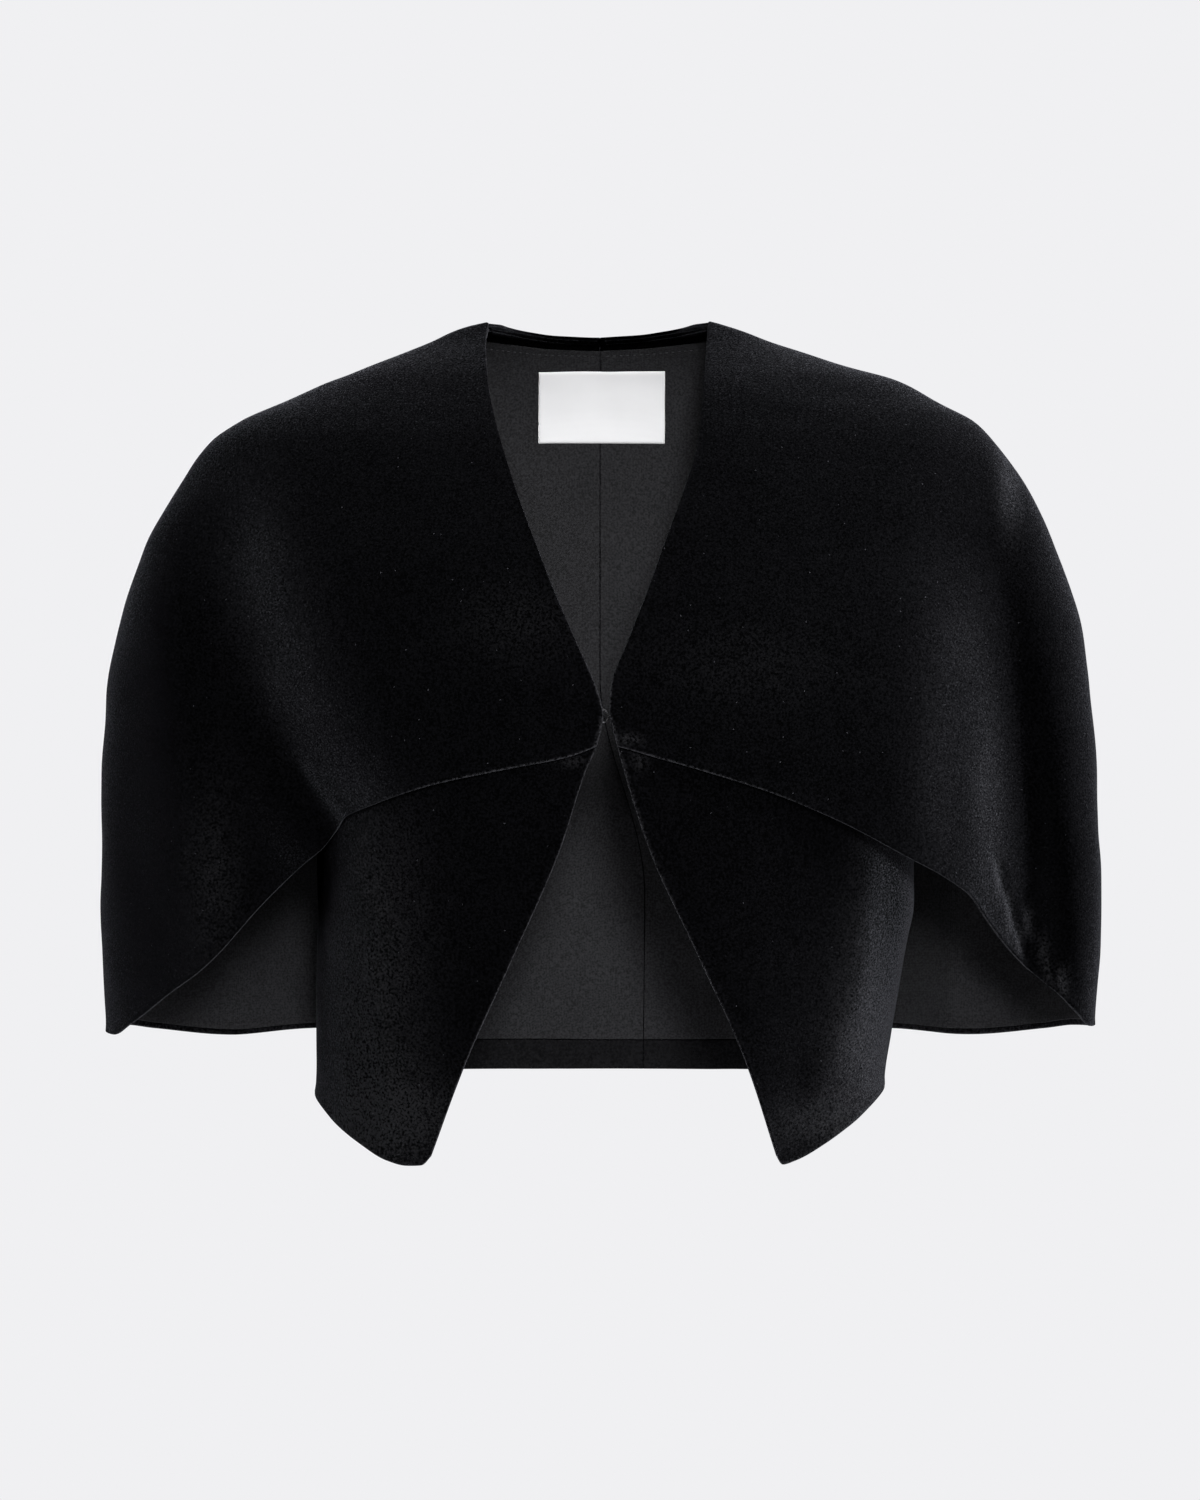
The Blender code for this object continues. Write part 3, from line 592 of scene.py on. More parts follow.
class Cloth:
    """A thin shell on a drape: two grids of points, an outer and an inner one, with rounded rims."""

    roll = 0.0

    def __init__(self, drape, chart, depth, wall, rims, step, puff=0.0):
        self.drape = drape
        top, bottom, inner, outer = rims
        samples = np.linspace(0, 1, LINE_SAMPLES)
        rows, columns = self.counts(chart, step, samples)
        row_lines = np.linspace(0, 1, rows + 2 * len(RIM_ANGLES) - 1)
        lines = self.points(chart, *np.meshgrid(samples, row_lines))
        p = fractions(lines, samples, columns, (inner, outer))
        column_lines = p.mean(axis=0)
        lines = self.points(chart, *np.meshgrid(column_lines, samples, indexing="ij"))
        q = fractions(lines, samples, rows, (top, bottom)).T
        self.chart = chart(p, q)
        point, self.normal = drape.surface(self.chart)
        pile, self.pale = drape.pile(self.chart)
        self.lean = pile - self.normal
        self.edges = self.edge_distances(point)
        # Painted highlight along the free edges, where the pile on the fold catches light
        self.edge_sheen = self.swelling(rims, 0, EDGE_SHEEN_WIDE)
        sink = rim_depths(columns, (inner, outer))[None, :] + rim_depths(rows, (top, bottom))[:, None]
        sink = np.minimum(sink, RIM_MOST * wall)[..., None]
        swell = puff * self.swelling(rims, SWELL_FROM_EDGE, SWELL_WIDE)[..., None]
        self.outer = point - self.normal * (depth + sink - swell)
        self.inner = point - self.normal * (depth + wall - sink)

    def points(self, chart, p, q):
        return self.drape.surface(chart(p, q))[0]

    def counts(self, chart, step, samples):
        """Rows and columns that give about this step."""
        middle = np.full_like(samples, 0.5)
        across = line_lengths(self.points(chart, samples, middle)[None])[0, -1]
        down = line_lengths(self.points(chart, middle, samples)[None])[0, -1]
        return max(4, round(down / step)), max(4, round(across / step))

    def edge_distances(self, point):
        """Distance of each point from the top, bottom, inner and outer edges."""
        along = line_lengths(point)
        down = line_lengths(point.swapaxes(0, 1)).T
        return down, down[-1:] - down, along, along[:, -1:] - along

    def swelling(self, rims, middle, wide):
        """1 along a line at this distance from the free edges, 0 away from it."""
        free = [near for near, rim in zip(self.edges, rims) if rim == FREE_RIM]
        if not free:
            return 0 * self.edges[0]
        return np.exp(-(((np.min(free, axis=0) - middle) / wide) ** 2))

    def flat_size(self):
        """Width, length and area of the piece when it lies flat, in metres."""
        wide = max((self.edges[2] + self.edges[3]).max() * MM, LEAST_FLAT)
        long = max((self.edges[0] + self.edges[1]).max() * MM, LEAST_FLAT)
        area = np.linalg.norm(self.face_normals(), axis=-1).sum() / 2 * MM * MM
        return wide, long, area

    def face_normals(self):
        """Normals of the outer faces, each as long as twice its area."""
        falling = self.outer[1:, 1:] - self.outer[:-1, :-1]
        rising = self.outer[1:, :-1] - self.outer[:-1, 1:]
        return np.cross(falling, rising)

    def faces_in(self):
        """Whether the faces of the outer grid point towards the body, before the left side is mirrored."""
        return (self.face_normals() * self.normal[1:, 1:]).sum() < 0

    def keep_front(self):
        """Front panels meet the back ones a little past the side line."""
        for grid in (self.outer, self.inner):
            grid[..., 1] = np.minimum(grid[..., 1], SEAM_LAP)
        return self

    def keep_back(self, seam, apart=-SEAM_LAP):
        """Back panels meet the fronts a little past the side line and end this far from the centre seam."""
        for grid in (self.outer, self.inner):
            low = seam(-grid[..., 2]) + apart
            grid[..., 0] = np.maximum(grid[..., 0], low)
            grid[:, 0, 0] = low[:, 0]
            grid[..., 1] = np.maximum(grid[..., 1], -SEAM_LAP)
        return self

    def build(self, name, finishes):
        """Object of the shell. A second finish covers its inside or, if it has one, the roll at its top,
        where a copy of the velvet without sheen paints shade.
        """
        rows, columns = self.outer.shape[:2]
        count = rows * columns
        points = np.concatenate([self.outer.reshape(-1, 3), self.inner.reshape(-1, 3)])
        points[:, 0] *= SIGN[self.drape.side]
        index = np.arange(count).reshape(rows, columns)
        corners = (index[:-1, :-1], index[:-1, 1:], index[1:, 1:], index[1:, :-1])
        quads = np.stack(corners, axis=-1).reshape(-1, 4)
        rim = np.concatenate([index[0, :-1], index[:-1, -1], index[-1, :0:-1], index[:0:-1, 0]])
        after = np.roll(rim, -1)
        band = np.stack([after, rim, rim + count, after + count], axis=-1)
        faces = np.concatenate([quads, quads[:, ::-1] + count, band])
        if self.faces_in() != (SIGN[self.drape.side] < 0):
            faces = faces[:, ::-1]
        lined = np.zeros(len(faces), np.int32)
        if self.roll:
            top = np.tile(self.edges[0].ravel(), 2)
            lined[:] = top[faces].max(axis=1) < self.roll
        elif len(finishes) > 1:
            near = np.min(self.edges, axis=0).ravel()[quads].min(axis=1)
            lined[len(quads) : 2 * len(quads)] = near > TURN_IN
        uv = np.stack([self.edges[2].ravel(), self.edges[0].ravel()], axis=-1) * MM
        lean = self.lean.reshape(-1, 3) * np.array([SIGN[self.drape.side], 1, 1])
        # Points carry their lean, the painted highlight of free edges and the painted sheen of brushed
        # places
        values = {
            "lean": np.concatenate([lean, lean * (self.edges[0] < RIM_LEAN).reshape(-1, 1)]),
            "edge_sheen": np.concatenate([self.edge_sheen.ravel(), self.edge_sheen.ravel()]),
            "pale": np.concatenate([self.pale.ravel(), 0 * self.pale.ravel()]),
        }
        piece = add_object(name, points * MM, faces.tolist(), finishes)
        piece.data.polygons.foreach_set("material_index", lined)
        add_values(piece.data, values, np.concatenate([uv, uv]))
        return piece


def add_values(mesh, values, uv):
    """Attributes of the points, one number or vector each, and the place of each point on the flat cloth."""
    for name, value in values.items():
        kind, field = ("FLOAT_VECTOR", "vector") if value.ndim > 1 else ("FLOAT", "value")
        made = mesh.attributes.new(name, kind, "POINT")
        made.data.foreach_set(field, value.astype(np.float32).ravel())
    corner = np.empty(len(mesh.loops), np.int32)
    mesh.loops.foreach_get("vertex_index", corner)
    mesh.uv_layers.new(name="cloth").uv.foreach_set("vector", uv[corner].astype(np.float32).ravel())


def add_object(name, points, faces, finishes):
    """Smooth-shaded object, in metres, that rides with the garment."""
    mesh = bpy.data.meshes.new(name)
    mesh.from_pydata(points.tolist(), [], faces)
    for made in finishes:
        mesh.materials.append(made)
    mesh.shade_smooth()
    piece = bpy.data.objects.new(name, mesh)
    bpy.context.scene.collection.objects.link(piece)
    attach(piece, "root")
    return piece


def add_cloth(cloth, node, finishes):
    """Cloth piece that stands for one CAD node and hides its solid; the flat size of the sheet is worked out
    but not used.
    """
    piece = cloth.build(f"{node}_cloth", finishes)
    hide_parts(node)
    wide, long, area = cloth.flat_size()
    return piece


def tube(line, radius, sides, closed):
    """Points and faces of a round wire or thread along a line of points."""
    line = np.asarray(line, float)
    if closed:
        ahead = np.roll(line, -1, axis=0) - np.roll(line, 1, axis=0)
    else:
        ahead = np.gradient(line, axis=0)
    ahead = ahead / np.linalg.norm(ahead, axis=1, keepdims=True)
    level = np.cross(ahead, WIRE_LEVEL)
    level = level / np.linalg.norm(level, axis=1, keepdims=True)
    upright = np.cross(ahead, level)
    angle = (np.arange(sides) * 2 * math.pi / sides)[None, :, None]
    spokes = np.cos(angle) * level[:, None] + np.sin(angle) * upright[:, None]
    radius = np.broadcast_to(np.asarray(radius, float), len(line))
    points = (line[:, None] + radius[:, None, None] * spokes).reshape(-1, 3)
    faces = []
    rings = len(line)
    for i in range(rings if closed else rings - 1):
        here = i * sides
        there = (i + 1) % rings * sides
        for k in range(sides):
            after = (k + 1) % sides
            faces.append((here + k, here + after, there + after, there + k))
    if not closed:
        faces.append(tuple(reversed(range(sides))))
        faces.append(tuple(range(len(points) - sides, len(points))))
    return points, faces


def stitches(lines, pitch, long, radius):
    """Points and faces of short threads along lines of points: each dips into the cloth at both ends."""
    points = []
    faces = []
    count = 0
    for line, normal in lines:
        length = line_lengths(line[None])[0]
        for start in np.arange(pitch / 2, length[-1] - long, pitch):
            at = start + long * np.linspace(0, 1, len(STITCH_LIFT))
            thread = np.stack([np.interp(at, length, line[:, k]) for k in range(3)], axis=-1)
            up = np.stack([np.interp(at, length, normal[:, k]) for k in range(3)], axis=-1)
            thread = thread + up * (radius * STITCH_LIFT)[:, None]
            made, sides = tube(thread, radius * STITCH_THICK, STITCH_SIDES, False)
            points.append(made)
            faces += [tuple(count + corner for corner in side) for side in sides]
            count += len(made)
    return np.concatenate(points), faces


def math_operator(operation, swapped=False):
    """Python operator of two sockets, or a socket and a number, that adds a Math node."""

    def operate(self, other):
        first, second = (other, self) if swapped else (self, other)
        return self.nodes.add("ShaderNodeMath", {"operation": operation}, {0: first, 1: second})

    return operate


class Socket:
    """A shader socket in a Python expression."""

    def __init__(self, nodes, socket):
        self.nodes = nodes
        self.socket = socket

    __add__ = math_operator("ADD")
    __radd__ = math_operator("ADD", swapped=True)
    __sub__ = math_operator("SUBTRACT")
    __mul__ = math_operator("MULTIPLY")
    __rmul__ = math_operator("MULTIPLY", swapped=True)
    __lt__ = math_operator("LESS_THAN")


class Nodes:
    """A node tree that starts empty."""

    def __init__(self, tree):
        self.tree = tree
        tree.nodes.clear()

    def add(self, kind, settings, inputs, output=0):
        """Adds a node: its settings first, then the values or links of its sockets."""
        node = self.tree.nodes.new(kind)
        for name, value in settings.items():
            setattr(node, name, value)
        for name, value in inputs.items():
            socket = node.inputs[name] if isinstance(name, int) else self.named(node.inputs, name)
            if isinstance(value, Socket):
                self.tree.links.new(value.socket, socket)
            else:
                socket.default_value = value
        if not len(node.outputs):
            return None
        found = node.outputs[output] if isinstance(output, int) else self.named(node.outputs, output)
        return Socket(self, found)

    def named(self, sockets, name):
        return next(socket for socket in sockets if name in (socket.identifier, socket.name))

    def mix(self, factor, first, second):
        """Colour between two colours."""
        inputs = {"Factor_Float": factor, "A_Color": first, "B_Color": second}
        return self.add("ShaderNodeMix", {"data_type": "RGBA"}, inputs, "Result_Color")

    def noise(self, place, scale, detail=2.0, distortion=0.0):
        inputs = {"Vector": place, "Scale": scale, "Detail": detail, "Distortion": distortion}
        return self.add("ShaderNodeTexNoise", {}, inputs)

    def bands(self, place, direction, scale, distortion=0.0):
        settings = {"bands_direction": direction, "wave_profile": "SIN"}
        inputs = {"Vector": place, "Scale": scale, "Distortion": distortion}
        return self.add("ShaderNodeTexWave", settings, inputs)

    def bump(self, height, strength, distance, normal=None):
        inputs = {"Height": height, "Strength": strength, "Distance": distance}
        if normal:
            inputs["Normal"] = normal
        return self.add("ShaderNodeBump", {}, inputs)

    def pile(self, place, ruffle):
        """Direction of the pile: the surface's own, turned by the lean that a point carries, and ruffled."""
        lean = self.add("ShaderNodeAttribute", {"attribute_name": "lean"}, {}, "Vector")
        settings = {"vector_type": "VECTOR", "convert_from": "OBJECT", "convert_to": "WORLD"}
        lean = self.add("ShaderNodeVectorTransform", settings, {0: lean})
        normal = self.add("ShaderNodeNewGeometry", {}, {}, "Normal")
        turned = self.add("ShaderNodeVectorMath", {"operation": "ADD"}, {0: normal, 1: lean})
        inputs = {"Vector": place, "Scale": PILE_TUFTS, "Detail": 2.0}
        tufts = self.add("ShaderNodeTexNoise", {"normalize": False}, inputs, "Color")
        inputs = {0: tufts, 1: (ruffle, ruffle, ruffle), 2: turned}
        ruffled = self.add("ShaderNodeVectorMath", {"operation": "MULTIPLY_ADD"}, inputs)
        return self.add("ShaderNodeVectorMath", {"operation": "NORMALIZE"}, {0: ruffled})

    def place(self):
        return self.add("ShaderNodeTexCoord", {}, {}, "Object")

    def cloth_place(self):
        return self.add("ShaderNodeUVMap", {"uv_map": "cloth"}, {})

    def principled(self, inputs):
        shader = self.add("ShaderNodeBsdfPrincipled", {}, inputs)
        self.add("ShaderNodeOutputMaterial", {}, {"Surface": shader})


def finish(name):
    """Material with an empty node tree: its name differs from those of the solids."""
    made = bpy.data.materials.new(f"{name}_look")
    made.use_nodes = True
    return made, Nodes(made.node_tree)


def shade(colour, factor):
    """A colour made lighter or darker, with its alpha."""
    return (*(min(1.0, part * factor) for part in colour), 1.0)


def velvet_finish(name, looks, colour, contrast, sheen):
    """Pile that is dark seen straight on and lights up where it turns away, with painted sheen where it is
    brushed, a painted highlight on folded edges and a little lint.
    """
    made, nodes = finish(name)
    place = nodes.place()
    grain = nodes.noise(place, PILE_GRAIN, 3.0)
    brushed = nodes.noise(place, PILE_BRUSHED, 4.0, 0.6)
    streaks = nodes.noise(place, PILE_STREAKS, 3.0, 0.3)
    lint = nodes.add("ShaderNodeTexVoronoi", {}, {"Vector": place, "Scale": LINT_SPACING})
    tone = 4.5 * grain + 0.5 * brushed + 0.6 * streaks - 2.3
    pile = nodes.mix(tone, shade(colour, 1 - contrast), shade(colour, 1 + contrast))
    edge_sheen = nodes.add("ShaderNodeAttribute", {"attribute_name": "edge_sheen"}, {}, "Fac")
    pale = nodes.add("ShaderNodeAttribute", {"attribute_name": "pale"}, {}, "Fac")
    rough = 8.0 * grain - 3.0
    # Painted sheen: the colour turns towards the brushed colour where points carry it, partly brushed pile,
    # partly a painted highlight on folds and rims
    with_brushed_sheen = nodes.mix(pale * rough * (0.4 + 1.2 * streaks), pile, shade(looks.brushed, 1.0))
    # Painted highlight along folded edges
    with_edge_sheen = nodes.mix(edge_sheen * rough, with_brushed_sheen, shade(looks.edge_sheen, 1.0))
    speckled = nodes.mix(lint < LINT_SIZE, with_edge_sheen, shade(looks.lint, 1.0))
    height = 0.25 * streaks + 0.5 * brushed
    inputs = {
        "Base Color": speckled,
        "Roughness": 0.86 + 0.12 * brushed,
        "Specular IOR Level": 0.0,
        "Sheen Weight": sheen,
        "Sheen Roughness": 0.46,
        "Sheen Tint": (0.86, 0.88, 1.0, 1.0),
        "Normal": nodes.bump(height, 0.5, 0.0005, nodes.pile(place, looks.ruffle)),
    }
    nodes.principled(inputs)
    return made


def lining_finish(name, colour):
    """Matte crepe: a fine weave with a pebbled face."""
    made, nodes = finish(name)
    place = nodes.place()
    cloth = nodes.cloth_place()
    warp = nodes.bands(cloth, "X", WEAVE, 0.6)
    weft = nodes.bands(cloth, "Y", WEAVE, 0.6)
    pebble = nodes.noise(place, PEBBLE, 3.0)
    cloud = nodes.noise(place, LINING_CLOUD, 3.0)
    tone = 3.6 * pebble + 0.6 * warp * weft + 0.4 * cloud - 1.65
    height = 0.6 * pebble + 0.4 * warp * weft
    inputs = {
        "Base Color": nodes.mix(tone, shade(colour, 0.5), shade(colour, 1.5)),
        "Roughness": 0.72 + 0.2 * pebble,
        "Specular IOR Level": 0.1,
        "Normal": nodes.bump(height, 0.5, 0.0003),
    }
    nodes.principled(inputs)
    return made


def label_finish(looks):
    """White satin ribbon with fine ribs across it."""
    made, nodes = finish("label")
    cloth = nodes.cloth_place()
    ribs = nodes.bands(cloth, "Y", LABEL_RIBS, 0.4)
    warp = nodes.bands(cloth, "X", LABEL_WARP, 0.4)
    cloud = nodes.noise(nodes.place(), LABEL_CLOUD, 3.0)
    tone = 0.35 * ribs + 0.15 * warp + 0.5 * cloud
    inputs = {
        "Base Color": nodes.mix(tone, shade(looks.label, 0.93), shade(looks.label, 1.03)),
        "Roughness": 0.55 + 0.15 * ribs,
        "Specular IOR Level": 0.3,
        "Sheen Weight": 0.05,
        "Normal": nodes.bump(ribs + 0.5 * warp, 0.3, 0.0002),
    }
    nodes.principled(inputs)
    return made


def thread_finish(name, colour):
    """Twisted sewing thread."""
    made, nodes = finish(name)
    twist = nodes.noise(nodes.place(), THREAD_TWIST)
    inputs = {
        "Base Color": nodes.mix(twist, shade(colour, 0.6), shade(colour, 1.4)),
        "Roughness": 0.55 + 0.2 * twist,
        "Specular IOR Level": 0.1,
        "Normal": nodes.bump(twist, 0.4, 0.0001),
    }
    nodes.principled(inputs)
    return made


def wire_finish(looks):
    """Black lacquered wire, worn a little in places."""
    made, nodes = finish("wire")
    wear = nodes.noise(nodes.place(), WIRE_WEAR, 3.0)
    inputs = {
        "Base Color": nodes.mix(wear, shade(looks.wire, 0.6), shade(looks.wire, 1.5)),
        "Roughness": 0.22 + 0.2 * wear,
        "Metallic": 1.0,
        "Normal": nodes.bump(wear, 0.2, 0.0001),
    }
    nodes.principled(inputs)
    return made


FINISHES = {
    "velvet": lambda looks: velvet_finish("velvet", looks, looks.velvet, 0.9, looks.sheen),
    # Lighter copy of the velvet for the hem facing: partly pressed pile, partly painted light
    "pressed_and_lit_velvet": lambda looks: velvet_finish("pressed_and_lit_velvet", looks, looks.pressed_and_lit, 0.35, looks.sheen),
    # Copy of the velvet without sheen: painted shade on the neck facing and the roll at the top of the backs
    "shade_painted_velvet": lambda looks: velvet_finish("shade_painted_velvet", looks, looks.velvet, 0.9, 0.0),
    "lining": lambda looks: lining_finish("lining", looks.lining),
    "cape_lining": lambda looks: lining_finish("cape_lining", looks.cape_lining),
    "label": label_finish,
    "thread": lambda looks: thread_finish("thread", looks.thread),
    "neck_thread": lambda looks: thread_finish("neck_thread", looks.neck_thread),
    "wire": wire_finish,
}


def finish_of(context, name):
    """The finish of this name, made when it is first asked for."""
    return bpy.data.materials.get(f"{name}_look") or FINISHES[name](context.scene.cape_looks)


def cape_front_chart(drape):
    lower = LOWER_EDGE[drape.side]
    return patch(
        drape.line(path(V_EDGE[drape.side][::-1], V_EDGE["drop"][::-1])),
        drape.line(path(lower["across"], lower["drop"])),
        drape.line(path(CAPE_CORNER[drape.side], CAPE_CORNER["drop"])),
        side_line(0, lower["drop"][-1]),
    )


def cape_back_chart():
    neck = CAPE_NECK["drop"]
    hem = CAPE_BACK_HEM["drop"]
    return patch(
        path(CAPE_NECK["turn"], neck),
        path(CAPE_BACK_HEM["turn"], hem),
        path([180, 180], [neck[0], hem[0]]),
        side_line(neck[-1], hem[-1]),
    )


def cape_lining_end():
    """Row of the cape back where its lining stops above the turned-up hem."""
    return 1 - CAPE_HEM_TURN / (CAPE_BACK_HEM["drop"][0] - CAPE_NECK["drop"][0])


def vest_front_chart(drape):
    side = drape.side
    hem = VEST_HEM[side]
    top = VEST_FORM["drop"][0]
    v_drop = V_EDGE["drop"] + top * (1 - V_EDGE["drop"] / V_EDGE["drop"][-1])
    edge_across = np.append(V_EDGE[side], VEST_EDGE[side])
    edge_drop = np.append(v_drop, VEST_EDGE["drop"])
    side_turn = np.append(ARMHOLE["front_turn"], 90)
    side_drop = np.append(ARMHOLE["drop"], hem["drop"][-1])
    return patch(
        side_line(top, SHOULDER_END),
        drape.line(path(hem["across"], hem["drop"])),
        drape.line(path(edge_across, edge_drop)),
        path(side_turn, side_drop),
    )


def vest_seam(side):
    """Distance across of the centre back seam, seen from one side."""
    return lambda drop: SIGN[side] * smooth(drop, VEST_SEAM["drop"], VEST_SEAM["across"])


def vest_back_chart(drape):
    seam = vest_seam(drape.side)
    neck_drop = VEST_NECK["drop"][0]
    long = VEST_BACK_HEM_DROP - neck_drop

    def centre_back(t):
        drop = neck_drop + long * np.asarray(t, float)
        return np.stack([seam(drop), drop], axis=-1)

    centre_line = drape.line(centre_back, back=True)
    outer_turn = np.concatenate([[90], ARMHOLE["back_turn"], [90]])
    outer_drop = np.concatenate([VEST_NECK["drop"][-1:], ARMHOLE["drop"], [VEST_BACK_HEM_DROP]])
    return patch(
        path(VEST_NECK["turn"], VEST_NECK["drop"]),
        path([centre_line(1.0)[0], 90], [VEST_BACK_HEM_DROP, VEST_BACK_HEM_DROP]),
        centre_line,
        path(outer_turn, outer_drop),
    )


def vest_back_rows():
    """Rows of the vest back where its lining starts and ends, and the gap from there to a facing."""
    long = VEST_BACK_HEM_DROP - VEST_NECK["drop"][0]
    first = (NECK_FACING_DEEP + SEAM_GAP) / long
    last = 1 - (HEM_FACING_DEEP + SEAM_GAP) / long
    return first, last, 2 * SEAM_GAP / long


def lining_line(drape, chart, depth, ends, row):
    """Line of points and inward normals on the inside of a layer, along one row of its chart."""
    p = np.linspace(*ends, LINE_SAMPLES)
    point, normal = drape.surface(chart(p, np.full_like(p, row)))
    point = point - normal * depth
    flip = np.array([SIGN[drape.side], 1, 1])
    return point * flip, -normal * flip


def length_setting(name, description, default):
    """Property that is a length in metres."""
    return FloatProperty(name=name, description=description, default=default, unit="LENGTH")


def number_setting(name, description, default):
    """Property that is a plain number."""
    return FloatProperty(name=name, description=description, default=default)


def colour_setting(name, description, default):
    """Property that is a colour."""
    limits = {"subtype": "COLOR", "min": 0, "max": 1}
    return FloatVectorProperty(name=name, description=description, default=default, **limits)


class CapeSizes(bpy.types.PropertyGroup):
    """Sizes of the cloth's finer form."""

    velvet_step: length_setting("Velvet step", "Distance between the points of the velvet fronts", 0.002)
    back_step: length_setting("Back step", "Distance between the points of the backs and linings", 0.0036)
    edge_swell: length_setting("Edge swell", "How far a turned edge stands up from the cloth", 0.0005)
    stitch_pitch: length_setting("Stitch pitch", "Distance from one stitch to the next", 0.0042)
    stitch_long: length_setting("Stitch length", "Length of one stitch", 0.0024)
    thread_radius: length_setting("Thread radius", "Half the thickness of the sewing thread", 0.00022)
    wire_radius: length_setting("Wire radius", "Half the thickness of the clasp's wire", 0.0005)


class CapeLooks(bpy.types.PropertyGroup):
    """Colours of the cloth, the threads and the clasp, and how the pile stands."""

    velvet: colour_setting("Velvet", "Pile seen straight on", (0.0008, 0.0008, 0.00095))
    # Lighter than the velvet: partly pressed pile, partly painted light
    pressed_and_lit: colour_setting("Pressed velvet", "Pile of the turned-up hem", (0.0062, 0.0062, 0.0067))
    # Colour that the painted sheen of brushed places turns to: partly brushed pile, partly a painted sheen
    # highlight
    brushed: colour_setting("Brushed velvet", "Pile brushed against its lie", (0.0098, 0.0098, 0.0107))
    # Colour of the painted highlight along folded edges
    edge_sheen: colour_setting("Folded edge", "Pile that stands on a folded edge", (0.02, 0.02, 0.022))
    lint: colour_setting("Lint", "Specks that cling to the pile", (0.035, 0.035, 0.04))
    lining: colour_setting("Vest lining", "Crepe inside the vest", (0.0145, 0.0145, 0.0158))
    cape_lining: colour_setting("Cape lining", "Crepe inside the cape", (0.0125, 0.0125, 0.0137))
    label: colour_setting("Label", "Woven label", (0.76, 0.76, 0.77))
    thread: colour_setting("Thread", "Black sewing thread", (0.004, 0.004, 0.0045))
    neck_thread: colour_setting("Neck thread", "Thread below the neck facing", (0.034, 0.034, 0.037))
    wire: colour_setting("Wire", "Lacquered wire of the clasp", (0.03, 0.03, 0.032))
    sheen: number_setting("Sheen", "How strongly the pile lights up where it turns away", 0.06)
    ruffle: number_setting("Ruffle", "How far single tufts of the pile lean aside", 0.5)


class CapeStage(bpy.types.PropertyGroup):
    """Camera, floor and surroundings."""

    camera_distance: length_setting("Camera distance", "Distance of the camera in front of the garment", 3.2)
    camera_height: length_setting("Camera height", "Height of the camera above the neck points", -0.261)
    lens: number_setting("Lens", "Focal length in millimetres", 125.9)
    floor_drop: length_setting("Floor drop", "Depth of the floor below a wearer's neck points", 1.42)
    floor_radius: length_setting("Floor radius", "Radius of the round floor", 3.0)
    background: colour_setting("Background", "Pale surroundings seen by the camera", (0.871, 0.871, 0.888))
    surround: number_setting("Surround", "Strength of the light from the surroundings", 0.06)


class CapeOperator:
    """What the makers of the cloth pieces share."""

    bl_options = {"REGISTER", "UNDO"}

    def sizes(self, context):
        return context.scene.cape_sizes

    def fronts(self, context, garment, chart_of, top_rim, lining):
        """Both fronts of the cape or the vest, with lining inside."""
        sizes = self.sizes(context)
        finishes = [finish_of(context, "velvet"), finish_of(context, lining)]
        rims = (top_rim, FREE_RIM, FREE_RIM, SEAM_RIM)
        for side in SIGN:
            drape = Drape(garment, side)
            step = sizes.velvet_step / MM
            cloth = Cloth(drape, chart_of(drape), 0, VELVET_WALL, rims, step, sizes.edge_swell / MM)
            add_cloth(cloth.keep_front(), f"{garment}_front_{side}", finishes)
        return {"FINISHED"}


class CAPE_OT_cape_fronts(CapeOperator, bpy.types.Operator):
    """Cape fronts, from the V edge over the shoulder to the side, with lining inside"""

    bl_idname = "cape.cape_fronts"
    bl_label = "Cape Fronts"

    def execute(self, context):
        return self.fronts(context, "cape", cape_front_chart, FREE_RIM, "cape_lining")


class CAPE_OT_cape_backs(CapeOperator, bpy.types.Operator):
    """Cape backs with the linings that stop short of their turned-up hems"""

    bl_idname = "cape.cape_backs"
    bl_label = "Cape Backs"

    def execute(self, context):
        sizes = self.sizes(context)
        step = sizes.back_step / MM
        # The roll at the top of each cape back wears the shade-painted velvet
        velvet = [finish_of(context, "velvet"), finish_of(context, "shade_painted_velvet")]
        lining = [finish_of(context, "cape_lining")]
        chart = cape_back_chart()
        end = cape_lining_end()
        for side in SIGN:
            drape = Drape("cape", side)
            rims = (NECK_RIM, FREE_RIM, SEAM_RIM, SEAM_RIM)
            cloth = Cloth(drape, chart, 0, VELVET_WALL, rims, step, sizes.edge_swell / MM)
            cloth.roll = NECK_SHADE_ROLL
            add_cloth(cloth.keep_back(np.zeros_like), f"cape_back_{side}", velvet)
            lined = part_of(chart, CAPE_LINING_TOP * end, end)
            cloth = Cloth(drape, lined, VELVET_WALL + SEAM_GAP, LINING_WALL, (THIN_RIM,) * 4, step)
            add_cloth(cloth.keep_back(np.zeros_like), f"cape_lining_{side}", lining)
        return {"FINISHED"}


class CAPE_OT_vest_fronts(CapeOperator, bpy.types.Operator):
    """Vest fronts, from the shoulder to the pointed hem, with lining inside"""

    bl_idname = "cape.vest_fronts"
    bl_label = "Vest Fronts"

    def execute(self, context):
        return self.fronts(context, "vest", vest_front_chart, SEAM_RIM, "lining")


